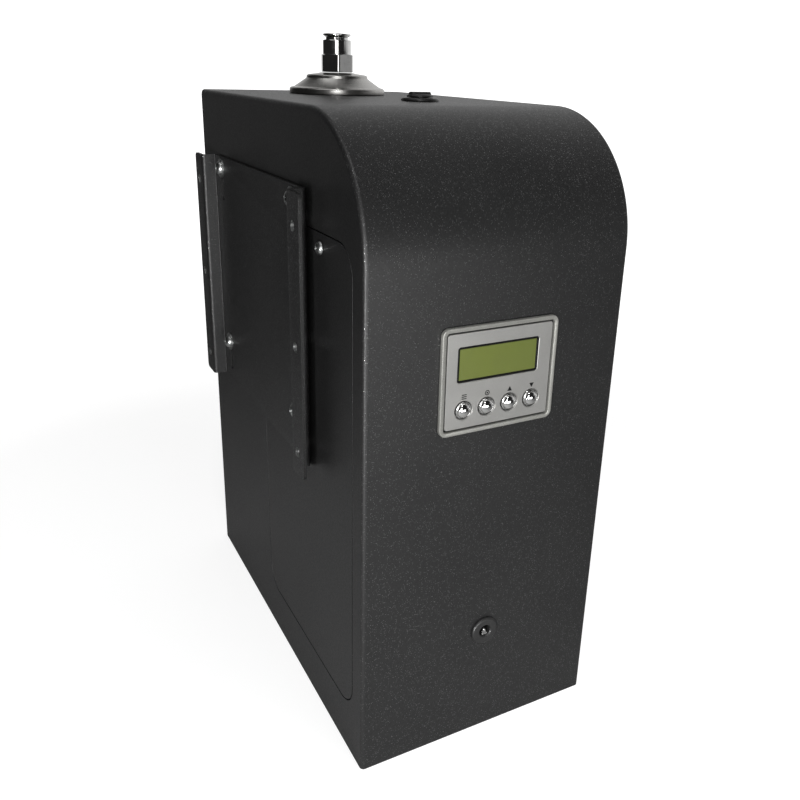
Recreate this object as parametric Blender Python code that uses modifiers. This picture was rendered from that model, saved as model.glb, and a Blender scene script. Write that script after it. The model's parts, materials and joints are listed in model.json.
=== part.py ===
"""Cold-air fog machine: a tall sheet-steel case that hangs from a hat-section wall bracket.

A diaphragm pump blows air through an atomiser on a bottle of scent oil, and the fog leaves by
the tube fitting on the roof. The front carries a display with four buttons and a DC jack.

Metres, +Z up. X is the width, seen from the front; Y is the depth, with the front at -Y. The
origin is the middle of the case's underside. A piece keeps a gap of SEAT to what it touches.
"""

import math

import bmesh
import bpy
from mathutils import Matrix, Vector

MM = 0.001
X, Y, Z = 0, 1, 2

# The case
CASE_WIDTH = 125.6 * MM
CASE_DEPTH = 223.4 * MM
CASE_HEIGHT = 290 * MM
ROOF_RADIUS = 56 * MM
SHEET = 1.2 * MM
BEND = 2.0 * MM
SEAT = 0.3 * MM
SEAM = 0.4 * MM
LEFT = -CASE_WIDTH / 2
RIGHT = CASE_WIDTH / 2
FRONT = -CASE_DEPTH / 2
BACK = CASE_DEPTH / 2
BASE_THICKNESS = 1.5 * MM
FLOOR_TOP = BASE_THICKNESS + SEAT

# The service panel in the left side, and the door in the right side
PANEL_FRONT = FRONT + 10.5 * MM
PANEL_BACK = FRONT + 124 * MM
PANEL_BOTTOM = 25.5 * MM
PANEL_TOP = 241 * MM
PANEL_CORNER = 13 * MM
PANEL_SCREW = (FRONT + 42 * MM, PANEL_TOP - 6 * MM)
DOOR_MARGIN = 10.5 * MM
DOOR_FRONT = FRONT + DOOR_MARGIN
DOOR_BACK = 88 * MM
DOOR_BOTTOM = 12 * MM
DOOR_TOP = 278 * MM
DOOR_CORNER = 10 * MM

# The door's hinges
HINGE_AXIS = (RIGHT + 2.7 * MM, DOOR_BACK + SEAM / 2)
HINGE_HEIGHTS = {"upper": 225 * MM, "lower": 60 * MM}
HINGE_LENGTH = 36 * MM
KNUCKLE_RADIUS = 2.4 * MM
PIN_RADIUS = 1.2 * MM
PIN_FIT = 0.05 * MM
LEAF_WIDTH = 17 * MM
LEAF_THICKNESS = 1.0 * MM

# The wall bracket, a hat section with its crown on the case
BRACKET_SHEET = 1.5 * MM
BRACKET_FRONT = FRONT + 57 * MM
BRACKET_BACK = FRONT + 193 * MM
BRACKET_BOTTOM = 130 * MM
BRACKET_TOP = 257 * MM
BRACKET_STANDOFF = 9 * MM
EAR_WIDTH = 14 * MM
EAR_HOLE_RADIUS = 2.4 * MM
EAR_HOLE_SHARES = (0.09, 0.48, 0.89)
BRACKET_SCREW_INSET = 13 * MM
BRACKET_SCREW_HEIGHTS = (153 * MM, 251 * MM)
SLOT_WIDTH = 4.6 * MM
SLOT_DROP = 17 * MM
SCREW_SHANK = 1.9 * MM

# The lock on the roof
LOCK_AT = (6.8 * MM, -21.5 * MM)
LOCK_BORE = 4.5 * MM
LOCK_BARREL_BOTTOM = CASE_HEIGHT - 18.5 * MM
CAM_TOP = LOCK_BARREL_BOTTOM - 0.6 * MM
CAM_THICKNESS = 1.5 * MM
CAM_REACH = 44 * MM
CAM_WIDTH = 12 * MM
CAM_TIP_DROP = 8.4 * MM

# The outlet on the roof, above the bottle
OUTLET_AT = (-1.2 * MM, 59.3 * MM)
OUTLET_FLANGE_RADIUS = 25.7 * MM
OUTLET_STEM_RADIUS = 8 * MM
HEX_FLATS = 16.4 * MM
TUBE_BORE = 5.1 * MM
COLLAR_TRAVEL = 1.0 * MM

# The control panel on the front
CONTROL_MIDDLE = (-1.4 * MM, 185.3 * MM)
BEZEL_SIZE = (56.4 * MM, 46.8 * MM)
BEZEL_RIM = 2.0 * MM
BEZEL_PROUD = 1.7 * MM
PLATE_THICKNESS = 1.2 * MM
WINDOW_MIDDLE = (-2.1 * MM, 192.5 * MM)
WINDOW_SIZE = (39.6 * MM, 15.4 * MM)
WINDOW_BORDER = 0.8 * MM
BUTTONS = ("mode", "set", "up", "down")
BUTTON_HEIGHT = 172.5 * MM
BUTTON_PITCH = 11.2 * MM
BUTTON_RADIUS = 3.7 * MM
BUTTON_TRAVEL = 0.8 * MM
BOARD_FRONT = FRONT + 10.9 * MM
BOARD_THICKNESS = 1.6 * MM
SWITCH_TALL = 3.4 * MM
LEAD_SIDE = 15 * MM

# The DC jack
JACK_AT = (0.0, 56.7 * MM)
JACK_THREAD = 5.6 * MM
JACK_BORE = 2.9 * MM
JACK_DEPTH = 14.5 * MM

# The air pump
PUMP_MIDDLE = -52 * MM
PUMP_SIZE = (60 * MM, 48 * MM, 50 * MM)
PUMP_BOTTOM = 12 * MM
PUMP_WALL = 4 * MM
ARMATURE_SIZE = (52 * MM, 13 * MM, 13 * MM)
PUMP_HEAD_RADIUS = 22 * MM

# The bottle and the atomiser above it
BOTTLE_RADIUS = 33 * MM
BOTTLE_BOTTOM = 4.3 * MM
NECK_RADIUS = 13 * MM
NECK_TOP = 172 * MM
AIR_INLET_HEIGHT = 186 * MM
AIR_INLET_LENGTH = 26 * MM
AIR_TUBE_RADIUS = 3.5 * MM
PARTITION_AT = 2 * MM
PARTITION_TOP = 235 * MM

# Base colour, roughness and metallic value of each finish
FINISHES = {
    "black_paint": ((0.025, 0.025, 0.026), 0.5, 0.0),
    "steel": ((0.55, 0.55, 0.53), 0.3, 1.0),
    "chrome": ((0.8, 0.8, 0.8), 0.08, 1.0),
    "silver_paint": ((0.46, 0.46, 0.42), 0.35, 0.8),
    "display": ((0.16, 0.2, 0.05), 0.2, 0.0),
    "white_plastic": ((0.75, 0.75, 0.72), 0.4, 0.0),
    "black_plastic": ((0.02, 0.02, 0.02), 0.4, 0.0),
    "rubber": ((0.03, 0.03, 0.03), 0.8, 0.0),
    "silicone": ((0.7, 0.72, 0.7), 0.4, 0.0),
    "brass": ((0.7, 0.5, 0.2), 0.3, 1.0),
    "cast_metal": ((0.4, 0.41, 0.42), 0.45, 1.0),
    "bottle_plastic": ((0.8, 0.8, 0.78), 0.35, 0.0),
    "board": ((0.02, 0.14, 0.06), 0.4, 0.0),
    "zinc": ((0.6, 0.6, 0.58), 0.35, 1.0),
}


# Building blocks


def clear_scene():
    for obj in list(bpy.data.objects):
        bpy.data.objects.remove(obj, do_unlink=True)


def add_collection(name):
    collection = bpy.data.collections.new(name)
    bpy.context.scene.collection.children.link(collection)
    return collection


def add_finishes():
    for name, (colour, roughness, metallic) in FINISHES.items():
        material = bpy.data.materials.new(name)
        material.use_nodes = True
        shader = material.node_tree.nodes["Principled BSDF"]
        shader.inputs["Base Color"].default_value = (*colour, 1.0)
        shader.inputs["Roughness"].default_value = roughness
        shader.inputs["Metallic"].default_value = metallic


def add_object(name, mesh, finish):
    """A part with its finish, or a hidden tool for a Boolean when finish is None."""
    obj = bpy.data.objects.new(name, mesh)
    if finish is None:
        obj.hide_render = True
        obj.display_type = "WIRE"
        bpy.data.collections["cutters"].objects.link(obj)
        return obj
    mesh.materials.append(bpy.data.materials[finish])
    bpy.data.collections["fog_machine"].objects.link(obj)
    return obj


def mesh_of(name, bm):
    mesh = bpy.data.meshes.new(name)
    bm.to_mesh(mesh)
    bm.free()
    return mesh


def add_cuboid(bm, low, high):
    size = Vector(high) - Vector(low)
    middle = (Vector(high) + Vector(low)) / 2
    matrix = Matrix.Translation(middle) @ Matrix.Diagonal((*size, 1.0))
    bmesh.ops.create_cube(bm, size=1.0, matrix=matrix)


def round_edges(bm, axis, radius, segments=5, keep=lambda middle: True):
    """Rounds the edges that run along the axis, where keep(middle of the edge) holds."""
    chosen = []
    for edge in bm.edges:
        start, end = (vertex.co for vertex in edge.verts)
        if abs((end - start).normalized()[axis]) > 0.999 and keep((start + end) / 2):
            chosen.append(edge)
    bmesh.ops.bevel(bm, geom=chosen, offset=radius, segments=segments, profile=0.5, affect="EDGES")


def cuboid(name, low, high, finish=None, rounded=None, radius=0.0, segments=5):
    bm = bmesh.new()
    add_cuboid(bm, low, high)
    if rounded is not None:
        round_edges(bm, rounded, radius, segments)
    return add_object(name, mesh_of(name, bm), finish)


def cuboids(name, boxes):
    """A Boolean tool of several boxes that don't touch each other."""
    bm = bmesh.new()
    for low, high in boxes:
        add_cuboid(bm, low, high)
    return add_object(name, mesh_of(name, bm), None)


def aim(direction):
    """The rotation that turns +Z to the direction."""
    return Vector(direction).to_track_quat("Z", "Y").to_euler()


def turned(name, profile, place, direction=(0, 0, 1), finish=None, steps=24):
    """Turns (radius, height) points about the direction through place.

    The points run from the inside over the top and down the outside. A profile that doesn't
    start on the axis is a ring, so it closes on itself.
    """
    bm = bmesh.new()
    points = [bm.verts.new((radius, 0.0, height)) for radius, height in profile]
    for first, second in zip(points, points[1:]):
        bm.edges.new((first, second))
    if profile[0][0] > 0.0:
        bm.edges.new((points[-1], points[0]))
    obj = add_object(name, mesh_of(name, bm), finish)
    obj.location = place
    obj.rotation_euler = aim(direction)
    screw = obj.modifiers.new("turn", "SCREW")
    screw.steps = steps
    screw.render_steps = steps
    screw.use_merge_vertices = True
    screw.merge_threshold = 0.00001
    screw.use_smooth_shade = True
    return obj


def rod(name, radius, start, end, finish=None, steps=16):
    start, end = Vector(start), Vector(end)
    length = (end - start).length
    profile = [(0.0, length), (radius, length), (radius, 0.0), (0.0, 0.0)]
    return turned(name, profile, start, end - start, finish, steps)


def upright_bore(name, radius, place, bottom, top):
    return rod(name, radius, (*place, bottom), (*place, top), steps=24)


def rods(name, radius, ends, steps=12):
    """A Boolean tool of several parallel rods, given as (start, end) pairs."""
    bm = bmesh.new()
    for start, end in ends:
        start, end = Vector(start), Vector(end)
        turn = aim(end - start).to_matrix().to_4x4()
        bmesh.ops.create_cone(
            bm,
            cap_ends=True,
            segments=steps,
            radius1=radius,
            radius2=radius,
            depth=(end - start).length,
            matrix=Matrix.Translation((start + end) / 2) @ turn,
        )
    return add_object(name, mesh_of(name, bm), None)


def ring(name, outer, inner, bottom, top, place, direction=(0, 0, 1), finish=None, steps=24):
    profile = [(inner, top), (outer, top), (outer, bottom), (inner, bottom)]
    return turned(name, profile, place, direction, finish, steps)


def tube(name, radius, points, finish):
    """A round tube through the points, along a smooth curve."""
    data = bpy.data.curves.new(name, "CURVE")
    data.dimensions = "3D"
    data.bevel_depth = radius
    data.bevel_resolution = 2
    data.use_fill_caps = True
    spline = data.splines.new("POLY")
    route = smooth_route([Vector(point) for point in points])
    spline.points.add(len(route) - 1)
    for spot, point in zip(spline.points, route):
        spot.co = (*point, 1.0)
    return add_object(name, data, finish)


def smooth_route(points, pieces=3):
    """Points along a Catmull-Rom curve that passes through every point."""
    padded = [2 * points[0] - points[1], *points, 2 * points[-1] - points[-2]]
    route = []
    for before, start, end, after in zip(padded, padded[1:], padded[2:], padded[3:]):
        for step in range(pieces):
            t = step / pieces
            bend = 2 * before - 5 * start + 4 * end - after
            swing = 3 * start - before - 3 * end + after
            route.append((2 * start + (end - before) * t + bend * t**2 + swing * t**3) / 2)
    return [*route, points[-1]]


def combine(obj, tool, operation):
    modifier = obj.modifiers.new(operation.lower(), "BOOLEAN")
    modifier.object = tool
    modifier.operation = operation
    modifier.solver = "EXACT"


def cut(obj, *tools):
    for tool in tools:
        combine(obj, tool, "DIFFERENCE")


def join(obj, *tools):
    for tool in tools:
        combine(obj, tool, "UNION")


def set_origin(obj, point):
    """Moves the object's origin, and leaves its shape where it is."""
    obj.data.transform(Matrix.Translation(-Vector(point)))
    obj.location = point


# The case


def arched_block(name, inset, bottom, width, finish=None):
    """The case's outline, inset all round, with its quarter-round front top corner."""
    bm = bmesh.new()
    low = (-width / 2, FRONT + inset, bottom)
    high = (width / 2, BACK - inset, CASE_HEIGHT - inset)
    add_cuboid(bm, low, high)
    radius = ROOF_RADIUS - inset
    round_edges(bm, X, radius, 12, lambda middle: middle.y < 0 and middle.z > bottom + MM)
    if finish is not None:
        outline = []
        for edge in bm.edges:
            start, end = (vertex.co for vertex in edge.verts)
            on_side = start.x == end.x
            at_back_top = min(start.y, end.y) > high[Y] - MM and min(start.z, end.z) > high[Z] - MM
            if (on_side or at_back_top) and max(start.z, end.z) > bottom + MM:
                outline.append(edge)
        bmesh.ops.bevel(bm, geom=outline, offset=BEND, segments=2, profile=0.5, affect="EDGES")
    return add_object(name, mesh_of(name, bm), finish)


def door_block(name, low_x, high_x, grow, finish=None):
    """The door's outline, whose front top corner follows the case's."""
    bm = bmesh.new()
    low = (low_x, DOOR_FRONT - grow, DOOR_BOTTOM - grow)
    high = (high_x, DOOR_BACK + grow, DOOR_TOP + grow)
    add_cuboid(bm, low, high)
    big = ROOF_RADIUS - DOOR_MARGIN + grow

    def is_arch(middle):
        return middle.y < 0 and middle.z > CASE_HEIGHT / 2

    round_edges(bm, X, big, 9, is_arch)
    for side, level in ((0, 0), (1, 0), (1, 1)):
        corner = ((low, high)[side][Y], (low, high)[level][Z])

        def at_corner(middle, spot=corner):
            return math.dist((middle.y, middle.z), spot) < MM

        round_edges(bm, X, DOOR_CORNER + grow, 4, at_corner)
    return add_object(name, mesh_of(name, bm), finish)


def bracket_screw_places():
    """(y, z) of the four screws that hold the wall bracket."""
    depths = (BRACKET_FRONT + BRACKET_SCREW_INSET, BRACKET_BACK - BRACKET_SCREW_INSET)
    return [(y, z) for y in depths for z in BRACKET_SCREW_HEIGHTS]


def base_screw_places():
    x = RIGHT - 8.5 * MM
    y = BACK - 8.5 * MM
    return [(-x, -y), (x, -y), (-x, y), (x, y)]


def weld_nuts(name, places):
    """Bosses on the inner side of the left wall, and the holes through them."""
    ends = [((LEFT + SHEET / 2, y, z), (LEFT + 6.5 * MM, y, z)) for y, z in places]
    holes = [((LEFT - MM, y, z), (LEFT + 8 * MM, y, z)) for y, z in places]
    return rods(name, 4.2 * MM, ends), rods(name + "_holes", SCREW_SHANK + 0.3 * MM, holes)


def in_service_panel(place):
    return PANEL_FRONT < place[0] < PANEL_BACK and PANEL_BOTTOM < place[1] < PANEL_TOP


def make_housing():
    housing = arched_block("housing", 0.0, 0.0, CASE_WIDTH, "black_paint")
    inside = arched_block("housing_inside", SHEET, -5 * MM, CASE_WIDTH - 2 * SHEET)
    panel_opening = cuboid(
        "panel_opening",
        (LEFT - MM, PANEL_FRONT - SEAM, PANEL_BOTTOM - SEAM),
        (LEFT + 2 * MM, PANEL_BACK + SEAM, PANEL_TOP + SEAM),
        rounded=X,
        radius=PANEL_CORNER + SEAM,
    )
    door_opening = door_block("door_opening", RIGHT - 2 * MM, RIGHT + MM, SEAM)
    cut(housing, inside, panel_opening, door_opening)

    lug = 7 * MM
    lug_boxes = []
    for x, y in base_screw_places():
        outer_x = math.copysign(RIGHT - SHEET / 2, x)
        outer_y = math.copysign(BACK - SHEET / 2, y)
        inner_x = x - math.copysign(lug, x)
        inner_y = y - math.copysign(lug, y)
        low = (min(outer_x, inner_x), min(outer_y, inner_y), FLOOR_TOP)
        high = (max(outer_x, inner_x), max(outer_y, inner_y), FLOOR_TOP + 8 * MM)
        lug_boxes.append((low, high))
    join(housing, cuboids("base_lugs", lug_boxes))
    lug_holes = [((x, y, 0.0), (x, y, 11 * MM)) for x, y in base_screw_places()]
    cut(housing, rods("base_lug_holes", 1.8 * MM, lug_holes))

    screw_y, screw_z = PANEL_SCREW
    tab_in = LEFT + SHEET + SEAT + SHEET
    tab_low, tab_high = screw_y - 7 * MM, screw_y + 7 * MM
    tab = cuboid(
        "panel_tab",
        (LEFT + SHEET + SEAT, tab_low, screw_z - 6 * MM),
        (tab_in, tab_high, PANEL_TOP + 10 * MM),
    )
    tab_weld = cuboid(
        "panel_tab_weld",
        (LEFT + SHEET / 2, tab_low + MM, PANEL_TOP + 3 * MM),
        (tab_in - SHEET / 2, tab_high - MM, PANEL_TOP + 9 * MM),
    )
    join(housing, tab_weld, tab)
    tab_hole = rod("panel_tab_hole", 1.8 * MM, (LEFT, screw_y, screw_z), (tab_in + MM, screw_y, screw_z))
    cut(housing, tab_hole)

    in_wall = [place for place in bracket_screw_places() if not in_service_panel(place)]
    nuts, nut_holes = weld_nuts("wall_nuts", in_wall)
    join(housing, nuts)
    cut(housing, nut_holes)

    roof = CASE_HEIGHT - 3 * MM
    above = CASE_HEIGHT + MM
    cut(housing, upright_bore("lock_hole", 6.8 * MM, LOCK_AT, roof, above))
    cut(housing, upright_bore("outlet_hole", OUTLET_STEM_RADIUS + 0.4 * MM, OUTLET_AT, roof, above))
    control_x, control_z = CONTROL_MIDDLE
    control_opening = cuboid(
        "control_opening",
        (control_x - 25 * MM, FRONT - MM, control_z - 20 * MM),
        (control_x + 25 * MM, FRONT + 3 * MM, control_z + 20 * MM),
        rounded=Y,
        radius=2 * MM,
        segments=3,
    )
    jack_x, jack_z = JACK_AT
    jack_start = (jack_x, FRONT - MM, jack_z)
    jack_end = (jack_x, FRONT + 3 * MM, jack_z)
    jack_hole = rod("jack_hole", JACK_THREAD + 0.3 * MM, jack_start, jack_end)
    cut(housing, control_opening, jack_hole)


def make_base():
    edge = SHEET + SEAT
    base = cuboid(
        "base_plate",
        (LEFT + edge, FRONT + edge, 0.0),
        (RIGHT - edge, BACK - edge, BASE_THICKNESS),
        "black_paint",
    )
    for number, (x, y) in enumerate(base_screw_places(), 1):
        sink = [(0.0, 2 * MM), (1.8 * MM, 2 * MM), (1.8 * MM, 1.4 * MM), (3.5 * MM, -0.3 * MM)]
        sink.append((0.0, -0.3 * MM))
        cut(base, turned(f"base_countersink_{number}", sink, (x, y, 0.0), steps=12))
        screw = [(0.0, 9 * MM), (1.5 * MM, 9 * MM), (1.5 * MM, 1.6 * MM), (2.8 * MM, 0.3 * MM)]
        drive = [(1.3 * MM, 0.3 * MM), (1.0 * MM, 1.2 * MM), (0.0, 1.2 * MM)]
        turned(f"base_screw_{number}", screw + drive, (x, y, 0.0), finish="zinc", steps=12)


def make_service_panel():
    panel = cuboid(
        "service_panel",
        (LEFT, PANEL_FRONT, PANEL_BOTTOM),
        (LEFT + SHEET, PANEL_BACK, PANEL_TOP),
        "black_paint",
        rounded=X,
        radius=PANEL_CORNER,
    )
    hook_in = LEFT + SHEET + SEAT + SHEET
    for end, y in (("front", PANEL_FRONT + 30 * MM), ("back", PANEL_BACK - 30 * MM)):
        hook = cuboid(
            f"{end}_panel_hook",
            (LEFT + SHEET + SEAT, y - 8 * MM, PANEL_BOTTOM - 10 * MM),
            (hook_in, y + 8 * MM, PANEL_BOTTOM + 11 * MM),
        )
        weld = cuboid(
            f"{end}_panel_hook_weld",
            (LEFT + SHEET / 2, y - 7 * MM, PANEL_BOTTOM + 2 * MM),
            (hook_in - SHEET / 2, y + 7 * MM, PANEL_BOTTOM + 10 * MM),
        )
        join(panel, weld, hook)
    in_panel = [place for place in bracket_screw_places() if in_service_panel(place)]
    nuts, nut_holes = weld_nuts("panel_nuts", in_panel)
    join(panel, nuts)
    screw_y, screw_z = PANEL_SCREW
    outside = LEFT - MM
    screw_hole = rod("panel_hole", 1.8 * MM, (outside, screw_y, screw_z), (LEFT + 2 * MM, screw_y, screw_z))
    cut(panel, nut_holes, screw_hole)

    pan = [
        (0.0, 0.9 * MM),
        (0.9 * MM, 0.9 * MM),
        (1.2 * MM, 1.9 * MM),
        (2.2 * MM, 1.6 * MM),
        (2.8 * MM, 0.9 * MM),
        (2.9 * MM, SEAT),
        (1.5 * MM, SEAT),
        (1.5 * MM, -5 * MM),
        (0.0, -5 * MM),
    ]
    turned("service_panel_screw", pan, (LEFT, screw_y, screw_z), (-1, 0, 0), "zinc", 16)


# The wall bracket


def make_wall_bracket():
    """One bent sheet: two ears, two webs and the crown, drawn as its middle surface."""
    crown_x = LEFT - SEAT - BRACKET_SHEET / 2
    ear_x = LEFT - BRACKET_STANDOFF + BRACKET_SHEET / 2
    bends = [
        (ear_x, BRACKET_FRONT - EAR_WIDTH),
        (ear_x, BRACKET_FRONT),
        (crown_x, BRACKET_FRONT),
        (crown_x, BRACKET_BACK),
        (ear_x, BRACKET_BACK),
        (ear_x, BRACKET_BACK + EAR_WIDTH),
    ]
    bm = bmesh.new()
    lower = [bm.verts.new((x, y, BRACKET_BOTTOM)) for x, y in bends]
    for start, end in zip(lower, lower[1:]):
        bm.edges.new((start, end))
    rise = bmesh.ops.extrude_edge_only(bm, edges=list(bm.edges))["geom"]
    upper = [item for item in rise if isinstance(item, bmesh.types.BMVert)]
    bmesh.ops.translate(bm, verts=upper, vec=(0.0, 0.0, BRACKET_TOP - BRACKET_BOTTOM))
    free_edge = [v for v in bm.verts if min(abs(v.co.y - bends[0][1]), abs(v.co.y - bends[-1][1])) < MM]
    bmesh.ops.bevel(bm, geom=free_edge, offset=2.5 * MM, segments=3, profile=0.5, affect="VERTICES")
    round_edges(bm, Z, 1.6 * MM, 3, lambda middle: bends[0][1] + MM < middle.y < bends[-1][1] - MM)
    bmesh.ops.recalc_face_normals(bm, faces=bm.faces)
    bracket = add_object("wall_bracket", mesh_of("wall_bracket", bm), "black_paint")
    solidify = bracket.modifiers.new("sheet", "SOLIDIFY")
    solidify.thickness = BRACKET_SHEET
    solidify.offset = 0.0
    solidify.use_even_offset = True

    height = BRACKET_TOP - BRACKET_BOTTOM
    ear_holes = []
    for y in (BRACKET_FRONT - EAR_WIDTH / 2, BRACKET_BACK + EAR_WIDTH / 2):
        for share in EAR_HOLE_SHARES:
            z = BRACKET_BOTTOM + share * height
            ear_holes.append(((ear_x - 2 * MM, y, z), (ear_x + 2 * MM, y, z)))
    cut(bracket, rods("ear_holes", EAR_HOLE_RADIUS, ear_holes))
    for number, (y, z) in enumerate(bracket_screw_places(), 1):
        slot = cuboid(
            f"bracket_slot_{number}",
            (crown_x - 2 * MM, y - SLOT_WIDTH / 2, z - SLOT_DROP),
            (crown_x + 2 * MM, y + SLOT_WIDTH / 2, z + SLOT_WIDTH / 2),
            rounded=X,
            radius=SLOT_WIDTH / 2 - 0.1 * MM,
            segments=4,
        )
        cut(bracket, slot)

    washer = SEAT + 0.9 * MM
    head = washer + 2.4 * MM
    screw = [
        (0.0, head - 1.2 * MM),
        (1.1 * MM, head - 1.2 * MM),
        (1.5 * MM, head),
        (2.5 * MM, head - 0.4 * MM),
        (3.5 * MM, head - 1.4 * MM),
        (3.6 * MM, washer),
        (5.0 * MM, washer),
        (5.0 * MM, SEAT),
        (SCREW_SHANK, SEAT),
        (SCREW_SHANK, -11 * MM),
        (0.0, -11 * MM),
    ]
    outer_face = LEFT - SEAT - BRACKET_SHEET
    for number, (y, z) in enumerate(bracket_screw_places(), 1):
        turned(f"bracket_screw_{number}", screw, (outer_face, y, z), (-1, 0, 0), "zinc", 16)


# The door and its hinges


def knuckle(name, middle_z, length):
    place = Vector((*HINGE_AXIS, middle_z))
    half = Vector((0, 0, length / 2))
    return rod(name, KNUCKLE_RADIUS, place - half, place + half)


def pin_bore(name, middle_z):
    reach = Vector((0, 0, HINGE_LENGTH))
    place = Vector((*HINGE_AXIS, middle_z))
    return rod(name, PIN_RADIUS + PIN_FIT, place - reach, place + reach, steps=16)


def make_door():
    door = door_block("side_door", RIGHT - SHEET, RIGHT, 0.0, "black_paint")
    third = HINGE_LENGTH / 3
    axis_x, axis_y = HINGE_AXIS
    for name, z in HINGE_HEIGHTS.items():
        half = HINGE_LENGTH / 2
        leaf = cuboid(
            f"{name}_door_leaf",
            (RIGHT - SHEET / 2, DOOR_BACK - LEAF_WIDTH, z - half),
            (RIGHT + LEAF_THICKNESS, axis_y - KNUCKLE_RADIUS - 0.4 * MM, z + half),
        )
        arm = cuboid(
            f"{name}_door_arm",
            (RIGHT + 0.05 * MM, axis_y - KNUCKLE_RADIUS - MM, z - third / 2 + SEAT),
            (RIGHT + LEAF_THICKNESS + 0.1 * MM, axis_y, z + third / 2 - SEAT),
        )
        middle = knuckle(f"{name}_door_knuckle", z, third - 2 * SEAT)
        join(door, leaf, arm, middle)
        cut(door, pin_bore(f"{name}_door_bore", z))
        make_fixed_leaf(name, z)
    set_origin(door, (axis_x, axis_y, 0.0))
    make_door_catch()


def make_fixed_leaf(name, z):
    third = HINGE_LENGTH / 3
    half = HINGE_LENGTH / 2
    axis_x, axis_y = HINGE_AXIS
    leaf = cuboid(
        f"hinge_leaf_{name}",
        (RIGHT + SEAT, axis_y + KNUCKLE_RADIUS + 0.4 * MM, z - half),
        (RIGHT + SEAT + LEAF_THICKNESS, axis_y + LEAF_WIDTH, z + half),
        "zinc",
    )
    for level in (-1, 1):
        middle = z + level * third
        arm = cuboid(
            f"{name}_arm_{level}",
            (RIGHT + SEAT + 0.05 * MM, axis_y, middle - third / 2),
            (RIGHT + SEAT + LEAF_THICKNESS + 0.1 * MM, axis_y + KNUCKLE_RADIUS + MM, middle + third / 2),
        )
        join(leaf, arm, knuckle(f"{name}_knuckle_{level}", middle, third - 0.01 * MM))
    cut(leaf, pin_bore(f"{name}_leaf_bore", z))
    head = 1.9 * MM
    top = half + SEAT + 0.8 * MM
    under_head = half + SEAT
    pin = [(0.0, top), (head, top), (head, under_head), (PIN_RADIUS, under_head), (PIN_RADIUS, -half)]
    pin.append((0.0, -half))
    turned(f"hinge_pin_{name}", pin, (axis_x, axis_y, z), finish="zinc")


def make_door_catch():
    """A bent strip on the door, with a lip that the lock's cam tip passes in front of."""
    half = 4 * MM
    lip_front = LOCK_AT[X] + CAM_REACH - CAM_THICKNESS - 0.6 * MM
    shelf = CAM_TOP - CAM_THICKNESS - 11.4 * MM
    weld = RIGHT - SHEET - SEAT
    leaf = cuboid(
        "door_catch",
        (weld - SHEET, LOCK_AT[Y] - half, shelf - 18 * MM),
        (weld, LOCK_AT[Y] + half, shelf + SHEET),
        "zinc",
    )
    flange = cuboid(
        "catch_flange",
        (lip_front - SHEET, LOCK_AT[Y] - half + 0.01 * MM, shelf),
        (weld - SHEET / 2, LOCK_AT[Y] + half - 0.01 * MM, shelf + SHEET - 0.01 * MM),
    )
    lip = cuboid(
        "catch_lip",
        (lip_front - SHEET + 0.01 * MM, LOCK_AT[Y] - half + 0.02 * MM, shelf + 0.01 * MM),
        (lip_front, LOCK_AT[Y] + half - 0.02 * MM, shelf + 8.5 * MM),
    )
    join(leaf, flange, lip)
    set_origin(leaf, (*HINGE_AXIS, 0.0))


# The lock


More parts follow.
